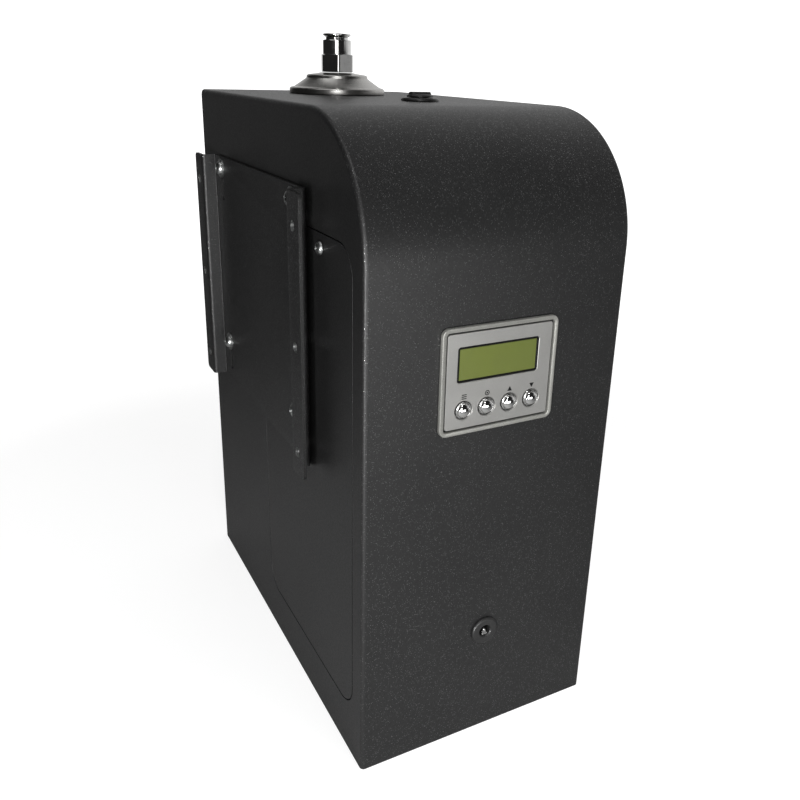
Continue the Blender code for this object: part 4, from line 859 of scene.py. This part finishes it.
def make_fixed_leaf(side, low, high, axis, third):
    """The leaf that is fixed to the case, and the pin."""
    plate_low = (low[X] + 0.05 * MM, axis[Y] + KNUCKLE_RADIUS + 0.4 * MM, low[Z])
    plate = cuboid(f"case_hinge_leaf_{side}", plate_low, (RIGHT + SEAT + MM, high[Y], high[Z]))
    tools = []
    for start in (low[Z], high[Z] - third):
        arm_high = (RIGHT + SEAT + 1.1 * MM, axis[Y] + KNUCKLE_RADIUS + MM, start + third)
        tools.append(cuboid("arm", (RIGHT + SEAT + 0.05 * MM, axis[Y], start), arm_high))
        tools.append(upright_rod("knuckle", KNUCKLE_RADIUS, axis, start, start + third, 36))
    join(plate, *tools)
    cut(plate, upright_rod("bore", PIN_HOLE_RADIUS, axis, low[Z] - MM, high[Z] + MM, 28))
    soften(plate, 0.18 * MM)
    finish_piece(plate, "case", "zinc", f"hinge_leaf_{side}")
    pin_low, pin_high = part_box(f"hinge_pin_{side}")
    long = pin_high[Z] - pin_low[Z]
    corners = [
        (0.0, long, 0.0),
        (1.9 * MM, long, 0.35 * MM),
        (1.9 * MM, long - 0.8 * MM, 0.1 * MM),
        (1.2 * MM, long - 0.8 * MM, 0.0),
        (1.2 * MM, 0.0, 0.2 * MM),
        (0.0, 0.0, 0.0),
    ]
    pin = turned(f"hinge_pintle_{side}", corners, (axis[X], axis[Y], pin_low[Z]), steps=32)
    finish_piece(pin, "case", "zinc", f"hinge_pin_{side}")


# The roof: lock and outlet


def hexagon(name, flats, place, tall, turn, corner=1.0 * MM, steps=5):
    """A hexagonal prism with rounded corners, whose ends are chamfered by turning."""
    radius = flats / math.sqrt(3)
    bend = corner * math.sqrt(3)
    reach = radius - bend * 2 / math.sqrt(3)
    ring = []
    for number in range(6):
        out = turn + number * math.tau / 6
        middle = Vector((math.cos(out), math.sin(out))) * reach
        for step in range(steps + 1):
            angle = out + (step / steps - 0.5) * math.tau / 6
            ring.append(middle + Vector((math.cos(angle), math.sin(angle))) * bend)
    nut = loft(name, [[(place[X] + x, place[Y] + y, place[Z] + z) for x, y in ring] for z in (0.0, tall)])
    flat = flats / 2
    reach = radius + MM
    drop = (reach - flat) * 0.5
    corners = [(0.0, tall, 0.0), (flat, tall, 0.0), (reach, tall - drop, 0.0)]
    corners += [(reach, drop, 0.0), (flat, 0.0, 0.0), (0.0, 0.0, 0.0)]
    combine(nut, "INTERSECT", turned("chamfers", corners, place, steps=72))
    soften(nut, 0.12 * MM, 35)
    return nut


def make_lock():
    place = (*LOCK_AXIS, ROOF)
    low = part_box("lock_barrel")[0][Z] - ROOF
    turn_low, turn_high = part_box("lock_thumb_turn")
    barrel = [
        (4.5 * MM, 1.6 * MM, 0.0),
        (5.0 * MM, 1.6 * MM, 0.0),
        (8.3 * MM, 1.6 * MM, 0.3 * MM),
        (9.0 * MM, 0.8 * MM, 0.3 * MM),
        (9.0 * MM, 0.3 * MM, 0.1 * MM),
        (6.5 * MM, 0.3 * MM, 0.0),
        (6.5 * MM, low, 0.3 * MM),
        (4.5 * MM, low, 0.0),
    ]
    rosette = turned("lock_rosette", barrel, place)
    finish_piece(rosette, "case", "black_plastic", "lock_barrel")

    disc = 1.9 * MM
    turn = [
        (0.0, disc + 1.2 * MM, 0.0),
        (5.6 * MM, disc + 1.2 * MM, 0.4 * MM),
        (6.3 * MM, disc + 0.6 * MM, 0.3 * MM),
        (6.3 * MM, disc, 0.1 * MM),
        (4.4 * MM, disc, 0.0),
        (4.4 * MM, low - SEAT, 0.2 * MM),
        (1.9 * MM, low - SEAT, 0.0),
        (1.9 * MM, turn_low[Z] - ROOF, 0.2 * MM),
        (0.0, turn_low[Z] - ROOF, 0.0),
    ]
    knob = turned("thumb_turn", turn, place)
    wing_base = ROOF + disc + 0.8 * MM
    loops = []
    for lift, grow in ((0.0, 0.3), (0.35, 0.0), (0.75, -0.15), (0.92, -0.35), (1.0, -0.75)):
        height = wing_base + lift * (turn_high[Z] - wing_base)
        side = rounded_outline((-5.6 * MM, -2.2 * MM), (5.6 * MM, 2.2 * MM), 1.9 * MM, grow * MM, 8)
        loops.append([(LOCK_AXIS[X] + u, LOCK_AXIS[Y] + v, height) for u, v in side])
    join(knob, loft("wing", loops))
    finish_piece(knob, "lock", "black_plastic", "lock_thumb_turn")


def make_outlet():
    place = (*OUTLET_AXIS, ROOF)
    flange_low, flange_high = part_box("outlet_flange")
    rim = (flange_high[X] - flange_low[X]) / 2
    seat_top = flange_high[Z] - ROOF
    bore = 5.3 * MM
    flange = [
        (bore, seat_top, 0.0),
        (9.4 * MM, seat_top, 0.4 * MM),
        (9.8 * MM, seat_top - 0.25 * MM, 0.0),
        (15.7 * MM, 9.9 * MM, 0.5 * MM),
        (16.5 * MM, 9.2 * MM, 0.4 * MM),
        (16.5 * MM, 8.3 * MM, 0.15 * MM),
        (16.8 * MM, 7.9 * MM, 0.0),
        (23.2 * MM, 3.6 * MM, 0.5 * MM),
        (24.9 * MM, 3.3 * MM, 0.5 * MM),
        (rim, 2.6 * MM, 0.5 * MM),
        (rim, SEAT, 0.1 * MM),
        (8 * MM, SEAT, 0.0),
        (8 * MM, -16 * MM, 0.4 * MM),
        (bore, -16 * MM, 0.0),
    ]
    finish_piece(turned("nozzle_flange", flange, place, steps=144), "case", "steel", "outlet_flange")

    hex_low = ROOF + seat_top + SEAT
    body_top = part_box("outlet_fitting")[1][Z] - ROOF
    fitting = hexagon("tube_fitting", HEX_FLATS, (*OUTLET_AXIS, hex_low), HEX_TALL, HEX_TURN)
    body = [
        (0.0, body_top, 0.0),
        (7.2 * MM, body_top, 0.15 * MM),
        (7.55 * MM, body_top - 0.4 * MM, 0.15 * MM),
        (7.55 * MM, hex_low - ROOF + HEX_TALL - 0.5 * MM, 0.0),
        (0.0, hex_low - ROOF + HEX_TALL - 0.5 * MM, 0.0),
    ]
    inside = [
        (0.0, body_top + MM, 0.0),
        (6.0 * MM, body_top + MM, 0.0),
        (6.0 * MM, body_top - 6.5 * MM, 0.0),
        (5.1 * MM, body_top - 6.5 * MM, 0.0),
        (5.1 * MM, seat_top - MM, 0.0),
        (0.0, seat_top - MM, 0.0),
    ]
    join(fitting, turned("fitting_body", body, place, steps=96))
    cut(fitting, turned("fitting_bore", inside, place, steps=96))
    even_shading(fitting)
    finish_piece(fitting, "case", "chrome", "outlet_fitting")

    collar_low, collar_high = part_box("outlet_collar")
    top = collar_high[Z] - ROOF
    collar = [
        (5.1 * MM, top - 0.4 * MM, 0.0),
        (5.5 * MM, top, 0.15 * MM),
        (7.1 * MM, top, 0.2 * MM),
        (7.5 * MM, top - 0.4 * MM, 0.15 * MM),
        (7.4 * MM, top - 0.9 * MM, 0.1 * MM),
        (5.92 * MM, top - 1.9 * MM, 0.1 * MM),
        (5.92 * MM, collar_low[Z] - ROOF, 0.1 * MM),
        (5.1 * MM, collar_low[Z] - ROOF, 0.0),
    ]
    piece = turned("release_ring", collar, place, steps=96)
    finish_piece(piece, "release_collar", "chrome", "outlet_collar")


# The control panel


def face_outline(size, middle, corner, steps=8):
    half_u, half_v = size[0] / 2, size[1] / 2

    def outline(grow):
        low = (middle[0] - half_u, middle[1] - half_v)
        high = (middle[0] + half_u, middle[1] + half_v)
        return rounded_outline(low, high, corner, grow, steps)

    return outline


def make_control_panel():
    low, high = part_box("panel_bezel")
    outer = FRONT - low[Y]
    size = (high[X] - low[X], high[Z] - low[Z])
    rim = 1.9 * MM
    groove = 0.75 * MM
    middle = (CONTROL_X, CONTROL_Z)
    frame_profile = [
        (0.0, SEAT),
        (0.0, outer - 0.4 * MM),
        (-0.1 * MM, outer - 0.15 * MM),
        (-0.35 * MM, outer),
        (-1.65 * MM, outer),
        (-1.8 * MM, outer - 0.08 * MM),
        (-rim, outer - 0.3 * MM),
        (-rim, SEAT),
    ]
    frame_outline = face_outline(size, middle, 3.4 * MM, 10)
    bezel = stacked("panel_frame", on_front, frame_outline, frame_profile, closed=True)
    finish_piece(bezel, "case", "silver_paint", "panel_bezel")

    plate_size = tuple(side - 2 * (rim + groove) for side in size)
    plate_out = SEAT + 1.2 * MM
    edge = 0.22 * MM
    plate_profile = [(0.0, SEAT), (0.0, plate_out - edge)]
    plate_profile += [(-edge * 0.3, plate_out - edge * 0.3), (-edge, plate_out)]
    plate = stacked("panel_face", on_front, face_outline(plate_size, middle, 1.3 * MM), plate_profile)
    window = stacked(
        "window",
        on_front,
        face_outline(WINDOW_SIZE, WINDOW_MIDDLE, 1.2 * MM),
        [(0.5 * MM, plate_out + 0.3 * MM), (0.2 * MM, plate_out), (0.0, plate_out - 0.25 * MM), (0.0, 0.0)],
    )
    cutters = [window]
    for x in BUTTON_PLACES.values():
        dish = [
            (0.0, plate_out + 0.4 * MM, 0.0),
            (4.75 * MM, plate_out + 0.4 * MM, 0.0),
            (4.45 * MM, plate_out, 0.0),
            (4.15 * MM, plate_out - 0.35 * MM, 0.2 * MM),
            (4.0 * MM, plate_out - 0.9 * MM, 0.0),
            (4.0 * MM, 0.0, 0.0),
            (0.0, 0.0, 0.0),
        ]
        cutters.append(turned("button_hole", dish, (x, FRONT, BUTTON_HEIGHT), (0, -1, 0), 48))
    cut(plate, *cutters)
    even_shading(plate)
    finish_piece(plate, "case", "silver_paint", "panel_plate", material=PLATE_SILVER)

    surround = face_outline(tuple(side - 0.2 * MM for side in WINDOW_SIZE), WINDOW_MIDDLE, 1.1 * MM)
    border = 0.8 * MM
    gasket_out = 1.3 * MM
    gasket_profile = [
        (0.0, 0.0),
        (0.0, gasket_out - 0.1 * MM),
        (-0.1 * MM, gasket_out),
        (-border + 0.1 * MM, gasket_out),
        (-border, gasket_out - 0.1 * MM),
        (-border, 0.0),
    ]
    gasket = stacked("window_surround", on_front, surround, gasket_profile, closed=True)
    finish_piece(gasket, "case", "rubber", "display_gasket", material=INK)
    glass_size = tuple(side - 0.2 * MM - 2 * border - 0.1 * MM for side in WINDOW_SIZE)
    glass_out = gasket_out - 0.25 * MM
    glass_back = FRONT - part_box("display_glass")[1][Y]
    glass_profile = [(0.0, glass_back), (0.0, glass_out - 0.12 * MM), (-0.12 * MM, glass_out)]
    glass_outline = face_outline(glass_size, WINDOW_MIDDLE, 0.4 * MM)
    glass = stacked("display_lens", on_front, glass_outline, glass_profile)
    finish_piece(glass, "case", "display", "display_glass")
    make_symbols(plate_out)


def make_symbols(plate_out):
    """Plain symbols over the buttons, printed on the plate: bars, a ring, and two arrowheads."""
    half = 1.15 * MM
    level = BUTTON_HEIGHT + 6.1 * MM
    ink = 0.03 * MM

    def printed(name, loop, x):
        loops = [[on_front(x + u, level + v, plate_out + out) for u, v in loop] for out in (-ink, ink)]
        finish_piece(loft(name, loops), "case", "silver_paint", material=INK)

    for number in range(3):
        low = (number - 1) * 0.85 * MM - 0.2 * MM
        high = low + 0.4 * MM
        bar = [(-half, low), (half, low), (half, high), (-half, high)]
        printed(f"mode_symbol_{number + 1}", bar, BUTTON_PLACES["mode"])

    def circle(radius):
        angles = [number / 32 * math.tau for number in range(32)]
        return [(radius * math.cos(angle), radius * math.sin(angle)) for angle in angles]

    x = BUTTON_PLACES["set"]
    inner = half - 0.35 * MM
    loops = [
        [on_front(x + u, level + v, plate_out + out) for u, v in circle(radius)]
        for radius, out in ((half, -ink), (half, ink), (inner, ink), (inner, -ink))
    ]
    finish_piece(loft("set_symbol_ring", loops, closed=True), "case", "silver_paint", material=INK)
    printed("set_symbol_dot", circle(0.4 * MM), x)
    for name, way in (("up", 1), ("down", -1)):
        arrow = [(-half, -way * half * 0.8), (half, -way * half * 0.8), (0.0, way * half)]
        printed(f"{name}_symbol", arrow, BUTTON_PLACES[name])


def make_buttons():
    """Bright domes that stand in a narrow dished rim."""
    radius = 3.7 * MM
    face = 1.5 * MM
    for name, x in BUTTON_PLACES.items():
        node = f"{name}_button"
        stem_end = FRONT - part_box(node)[1][Y]
        corners = [(0.0, face + 1.9 * MM, 0.0)]
        for step in range(1, 9):
            angle = step / 9 * math.pi / 2
            height = face + 0.05 * MM + 1.85 * MM * math.cos(angle)
            corners.append((3.05 * MM * math.sin(angle), height, 0.0))
        corners += [
            (3.1 * MM, face - 0.05 * MM, 0.0),
            (3.3 * MM, face - 0.15 * MM, 0.1 * MM),
            (3.6 * MM, face + 0.1 * MM, 0.1 * MM),
            (radius, face - 0.1 * MM, 0.05 * MM),
            (radius, 0.0, 0.0),
            (radius + 0.7 * MM, 0.0, 0.1 * MM),
            (radius + 0.7 * MM, -0.8 * MM, 0.1 * MM),
            (1.4 * MM, -0.8 * MM, 0.0),
            (1.4 * MM, stem_end, 0.1 * MM),
            (0.0, stem_end, 0.0),
        ]
        button = turned(f"{name}_dome", corners, (x, FRONT, BUTTON_HEIGHT), (0, -1, 0), 64)
        finish_piece(button, node, "chrome", node)


def make_jack():
    place = (JACK_X, FRONT, JACK_Z)
    body = [
        (0.0, -9 * MM, 0.0),
        (2.9 * MM, -9 * MM, 0.0),
        (2.9 * MM, 0.9 * MM, 0.0),
        (3.4 * MM, 1.6 * MM, 0.2 * MM),
        (6.2 * MM, 1.6 * MM, 0.3 * MM),
        (6.85 * MM, 1.0 * MM, 0.25 * MM),
        (6.85 * MM, SEAT, 0.0),
        (5.6 * MM, SEAT, 0.0),
        (5.6 * MM, -14.5 * MM, 0.3 * MM),
        (0.0, -14.5 * MM, 0.0),
    ]
    shell = turned("jack_shell", body, place, (0, -1, 0))
    finish_piece(shell, "case", "black_plastic", "jack_body")
    pin = in_mm((0.0, 0.9, 0.0), (0.6, 0.75, 0.3), (1.05, -0.1, 0.4), (1.05, -8.7, 0.0), (0.0, -8.7, 0.0))
    contact = turned("jack_contact", pin, place, (0, -1, 0), 40)
    finish_piece(contact, "case", "chrome", "jack_pin")
    spring = in_mm((-1.0, -0.5), (1.0, -0.5), (1.5, -2.3), (-1.5, -2.3))
    loops = []
    for inner, outer in ((-8 * MM, -8 * MM), (0.0, 0.6 * MM), (0.3 * MM, 0.9 * MM)):
        depths = (inner, inner, outer, outer)
        loops.append([on_front(JACK_X + u, JACK_Z + v, out) for (u, v), out in zip(spring, depths)])
    finish_piece(loft("jack_spring", loops), "case", "chrome")


# Inside the case


def softened_copy(name, node, width):
    """A copy of a CAD node with its edges rounded."""
    source = frame["nodes"][node]
    bm = bmesh.new()
    bm.from_mesh(source.data)
    bm.transform(source.matrix_world)
    bmesh.ops.remove_doubles(bm, verts=bm.verts, dist=0.001 * MM)
    bmesh.ops.dissolve_limit(bm, angle_limit=math.radians(1), verts=bm.verts, edges=bm.edges)
    return soften(new_piece(name, bm), width)


def make_flat_parts():
    """The plates, nuts and blocks inside, with their edges rounded."""
    parts = (
        ("partition", "partition_plate", "case", "zinc", 0.2),
        ("catch_strip", "door_catch", "door", "zinc", 0.2),
        ("cam_arm", "lock_cam", "lock", "zinc", 0.25),
        ("cam_arm_nut", "lock_cam_nut", "lock", "zinc", 0.25),
        ("lock_ring_nut", "lock_nut", "case", "zinc", 0.3),
        ("outlet_ring_nut", "outlet_nut", "case", "zinc", 0.3),
        ("pump_frame", "pump_body", "case", "cast_metal", 0.5),
        ("pump_lid", "pump_cover", "case", "cast_metal", 0.5),
        ("pump_rod", "pump_armature", "armature", "steel", 0.3),
        ("pump_pad", "pump_mat", "case", "rubber", 0.5),
        ("circuit", "control_board", "case", "board", 0.15),
        ("backlight", "display_backlight", "case", "white_plastic", 0.2),
    )
    for name, node, body, slot, width in parts:
        finish_piece(softened_copy(name, node, width * MM), body, slot, node)


def ribbed_ring(name, place, profile, ribs, height):
    """A ring from a closed (radius, height, ribbed) profile, with ribs down its ribbed points."""
    count = ribs * 6
    loops = []
    for radius, level, ribbed in profile:
        loop = []
        for number in range(count):
            angle = number / count * math.tau
            out = radius + (height * max(0.0, math.cos(angle * ribs)) if ribbed else 0.0)
            loop.append((place[X] + out * math.cos(angle), place[Y] + out * math.sin(angle), level))
        loops.append(loop)
    return loft(name, loops, closed=True)


def make_bottle():
    """The blow-moulded bottle in its cup, with the ribbed cap and the atomiser on its neck."""
    place = (*OUTLET_AXIS, 0.0)
    low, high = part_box("scent_bottle")
    wide = (high[X] - low[X]) / 2
    shoulder = 140 * MM
    bottle = [
        (0.0, low[Z] + 4 * MM, 0.0),
        (3.2 * MM, low[Z] + 4 * MM, 0.0),
        (3.2 * MM, high[Z], 0.3 * MM),
        (13 * MM, high[Z], 0.8 * MM),
        (13 * MM, shoulder + 13 * MM, 2 * MM),
        (wide - 7 * MM, shoulder + 6 * MM, 6 * MM),
        (wide, shoulder - 3 * MM, 7 * MM),
        (wide, 100 * MM, 0.4 * MM),
        (wide - 0.5 * MM, 99 * MM, 0.4 * MM),
        (wide - 0.5 * MM, 40 * MM, 0.4 * MM),
        (wide, 39 * MM, 0.4 * MM),
        (wide, low[Z], 3.5 * MM),
        (0.0, low[Z], 0.0),
    ]
    finish_piece(turned("bottle", bottle, place, steps=96), "case", "bottle_plastic", "scent_bottle")
    low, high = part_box("bottle_cradle")
    wide = (high[X] - low[X]) / 2
    cup = [
        (0.0, 4 * MM, 0.0),
        (wide - 2.5 * MM, 4 * MM, 0.2 * MM),
        (wide - 2.5 * MM, high[Z], 0.5 * MM),
        (wide, high[Z], 0.9 * MM),
        (wide, low[Z], 0.5 * MM),
        (0.0, low[Z], 0.0),
    ]
    finish_piece(turned("bottle_cup", cup, place, steps=96), "case", "rubber", "bottle_cradle")
    low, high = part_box("bottle_collar")
    rim = (high[X] - low[X]) / 2
    lip = high[Z] - 2 * MM
    cap = [
        (10.3 * MM, high[Z], False),
        (rim - 1.6 * MM, high[Z], False),
        (rim - 0.8 * MM, high[Z] - 0.5 * MM, False),
        (rim - 0.6 * MM, high[Z] - 1.2 * MM, True),
        (rim - 0.6 * MM, low[Z] + 2 * MM, True),
        (rim - 0.5 * MM, low[Z] + 1.6 * MM, False),
        (rim - 0.1 * MM, low[Z] + 1.3 * MM, False),
        (rim, low[Z] + MM, False),
        (rim, low[Z], False),
        (13.4 * MM, low[Z], False),
        (13.4 * MM, lip, False),
        (10.3 * MM, lip, False),
    ]
    cap_piece = ribbed_ring("ribbed_cap", place, cap, 36, 0.55 * MM)
    finish_piece(cap_piece, "case", "black_plastic", "bottle_collar")
    low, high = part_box("atomiser_head")
    head = [
        (0.0, 196 * MM, 0.0),
        (5.3 * MM, 196 * MM, 0.0),
        (5.3 * MM, high[Z], 0.2 * MM),
        (8.4 * MM, high[Z], 0.6 * MM),
        (10 * MM, high[Z] - 3 * MM, 0.8 * MM),
        (10 * MM, low[Z] + 1.6 * MM, 0.4 * MM),
        (12.6 * MM, low[Z] + 1.6 * MM, 0.3 * MM),
        (12.6 * MM, low[Z], 0.2 * MM),
        (2.8 * MM, low[Z], 0.0),
        (2.8 * MM, 190 * MM, 0.0),
        (0.0, 190 * MM, 0.0),
    ]
    atomiser = turned("atomiser", head, place, steps=72)
    inlet_height = middle_of("tube_grommet")[Z]
    inlet = [(0.0, 0.0, 0.0), (2.6 * MM, 0.0, 0.0)]
    for barb in range(3):
        inlet += [(2.6 * MM, (11 + barb * 3) * MM, 0.1 * MM), (2.2 * MM, (11.2 + barb * 3) * MM, 0.1 * MM)]
    long = OUTLET_AXIS[Y] - low[Y] - 8 * MM
    inlet += [(2.4 * MM, long, 0.3 * MM), (0.0, long, 0.0)]
    inlet_start = (OUTLET_AXIS[X], OUTLET_AXIS[Y] - 8 * MM, inlet_height)
    join(atomiser, turned("inlet", inlet[::-1], inlet_start, (0, -1, 0), 40))
    finish_piece(atomiser, "case", "brass", "atomiser_head")


def make_pump_heads():
    for side, way in (("left", -1), ("right", 1)):
        node = f"pump_head_{side}"
        low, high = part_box(node)
        middle = middle_of(node)
        inner = min(abs(low[X]), abs(high[X]))
        head = in_mm(
            (0.0, 11, 0.0), (8, 11, 0.0), (8.6, 10.2, 0.3), (12, 10.2, 0.3), (12.6, 11, 0.3),
            (14.4, 11, 0.6), (17, 9, 0.6), (21.5, 8, 0.6), (22, 6.5, 0.5), (22, 0.0, 0.4),
            (0.0, 0.0, 0.0),
        )
        piece = turned(f"diaphragm_{side}", head, (way * inner, middle[Y], middle[Z]), (way, 0, 0), 80)
        finish_piece(piece, "case", "black_plastic", node)


# Floor, light and camera


def make_floor():
    """A pale floor that fades into the white backdrop away from the machine."""
    bm = bmesh.new()
    bmesh.ops.create_grid(bm, x_segments=1, y_segments=1, size=FLOOR_REACH)
    floor = new_piece("floor", bm)
    pale = Surface("floor", Roughness=0.9, Specular_IOR_Level=0.1)
    clouds = pale.noise(0.25, 2.0)
    white = pale.mix(pale.range(clouds, 0.3, 0.7, 0.0, 1.0), (0.88, 0.88, 0.88), (0.90, 0.90, 0.90))
    seen = pale.node("ShaderNodeLightPath").outputs["Is Camera Ray"]
    # In reflections the floor carries painted light and shade: a painted pool of light to the left of the
    # machine, fading into painted shade to its right, behind it and far in front of it
    apart = pale.node("ShaderNodeSeparateXYZ", {"Vector": pale.place}).outputs
    leftward = pale.range(apart["X"], 0.0, 0.28, 1.0, 0.0)
    forward = pale.range(apart["Y"], 0.1, 0.5, 1.0, 0.0)
    rearward = pale.range(apart["Y"], -0.45, -0.12, 0.3, 1.0)
    painted_light_mask = pale.maths("MULTIPLY", leftward, pale.maths("MULTIPLY", forward, rearward))
    # painted light and painted shade on the floor, seen only in reflections
    painted_light_and_shade = pale.range(painted_light_mask, 0.0, 1.0, FLOOR_PAINTED_SHADE, FLOOR_PAINTED_LIGHT)
    pale.drive("Base Color", pale.mix(seen, painted_light_and_shade, white))
    # The camera sees it partly as bright as the backdrop, which keeps its shadows faint
    own = pale.shader.outputs[0]
    backdrop = pale.node("ShaderNodeEmission", {"Strength": BACKDROP})
    lit = pale.node("ShaderNodeMixShader", {0: FLOOR_GLOW, 1: own, 2: backdrop.outputs[0]})
    either = pale.node("ShaderNodeMixShader", {0: seen, 1: own, 2: lit.outputs[0]})
    away = pale.node("ShaderNodeVectorMath", {0: pale.place}, operation="LENGTH").outputs["Value"]
    fade = pale.range(away, FLOOR_REACH * 0.35, FLOOR_REACH * 0.85, 0.0, 1.0)
    clear = pale.node("ShaderNodeBsdfTransparent")
    faded = pale.node("ShaderNodeMixShader", {0: fade, 1: either.outputs[0], 2: clear.outputs[0]})
    pale.tree.links.new(faded.outputs[0], pale.tree.nodes["Material Output"].inputs["Surface"])
    floor.data.materials.append(pale.material)


def make_world():
    """A white backdrop. The machine itself is in a dark studio, with a pale wall at its right and back."""
    world = bpy.data.worlds.new("studio")
    world.use_nodes = True
    tree = world.node_tree
    bpy.context.scene.world = world

    def node(kind, **settings):
        made = tree.nodes.new(kind)
        for key, value in settings.items():
            setattr(made, key, value)
        return made

    direction = node("ShaderNodeTexCoord").outputs["Generated"]
    facing = node("ShaderNodeVectorMath", operation="DOT_PRODUCT")
    facing.inputs[1].default_value = Vector(WALL_DIRECTION).normalized()
    tree.links.new(direction, facing.inputs[0])
    wall = node("ShaderNodeMapRange", interpolation_type="SMOOTHSTEP")
    reach = {"From Min": 0.25, "From Max": 0.85, "To Min": DARK_WALLS, "To Max": PALE_WALL}
    for key, value in reach.items():
        wall.inputs[key].default_value = value
    tree.links.new(facing.outputs["Value"], wall.inputs["Value"])
    strength = node("ShaderNodeMix", data_type="FLOAT")
    strength.inputs[3].default_value = BACKDROP
    tree.links.new(node("ShaderNodeLightPath").outputs["Is Camera Ray"], strength.inputs[0])
    tree.links.new(wall.outputs["Result"], strength.inputs[2])
    tree.links.new(strength.outputs[0], tree.nodes["Background"].inputs["Strength"])
    tree.nodes["Background"].inputs["Color"].default_value = (1.0, 1.0, 1.0, 1.0)


def make_light(name, place, target, size, radiance, in_reflections=True):
    """A rectangular softbox, as bright as the radiance, that the camera doesn't see."""
    data = bpy.data.lights.new(name, "AREA")
    data.shape = "RECTANGLE"
    data.size, data.size_y = size
    data.energy = radiance * size[0] * size[1] * math.pi
    light = bpy.data.objects.new(name, data)
    bpy.context.scene.collection.objects.link(light)
    light.location = place
    light.rotation_euler = (Vector(target) - Vector(place)).to_track_quat("-Z", "Y").to_euler()
    light.visible_camera = False
    light.visible_glossy = in_reflections


def make_lights():
    heart = (0.0, 0.0, 0.1)
    make_light("ceiling_softbox", (-0.25, 0.15, 1.2), heart, (0.5, 0.5), 1.0)
    make_light("ceiling_spot", (-0.25, -0.54, 1.43), (0.0, 0.06, 0.3), (0.12, 0.12), 60.0)
    make_light("shadow_softbox", (0.2, -0.65, 0.95), heart, (0.6, 0.6), 4.0, in_reflections=False)
    make_light("front_softbox", (0.12, -0.7, 0.1), (0.0, 0.0, 0.14), (0.3, 0.18), 4.3)
    make_light("low_softbox", (-0.16, -0.72, 0.1), (-0.07, 0.0, 0.2), (0.2, 0.18), 9.0)
    make_light("left_softbox", (-0.62, -0.62, 0.08), (-0.06, -0.1, 0.2), (0.1, 0.16), 110.0)
    make_light("right_softbox", (0.67, -0.41, 0.33), (0.0, 0.06, 0.31), (0.5, 0.15), 0.26)
    make_light("camera_softbox", (-0.42, -0.92, 0.5), (0.0, 0.0, 0.25), (0.4, 0.5), 3.5)


def make_camera():
    data = bpy.data.cameras.new("camera")
    data.sensor_width = 36.0
    data.lens = 36.61
    data.shift_x = -0.0247
    data.shift_y = -0.0521
    data.clip_start = 0.01
    camera = bpy.data.objects.new("camera", data)
    bpy.context.scene.collection.objects.link(camera)
    ahead = Vector((0.45354, 0.82519, -0.33669)).normalized()
    level = ahead.cross(Vector((0, 0, 1))).normalized()
    upright = level.cross(ahead)
    roll = 0.0302
    right = level * math.cos(roll) + upright * math.sin(roll)
    up = upright * math.cos(roll) - level * math.sin(roll)
    turn = Matrix((right, up, -ahead)).transposed().to_4x4()
    camera.matrix_world = Matrix.Translation((-0.18298, -0.37432, 0.30498)) @ turn
    bpy.context.scene.camera = camera


paint_frame()
make_case()
make_service_cover()
make_base()
make_screws()
make_bracket()
make_door()
make_lock()
make_outlet()
make_control_panel()
make_buttons()
make_jack()
make_flat_parts()
make_bottle()
make_pump_heads()
make_floor()
make_world()
make_lights()
make_camera()
bpy.context.scene.view_settings.view_transform = "Standard"
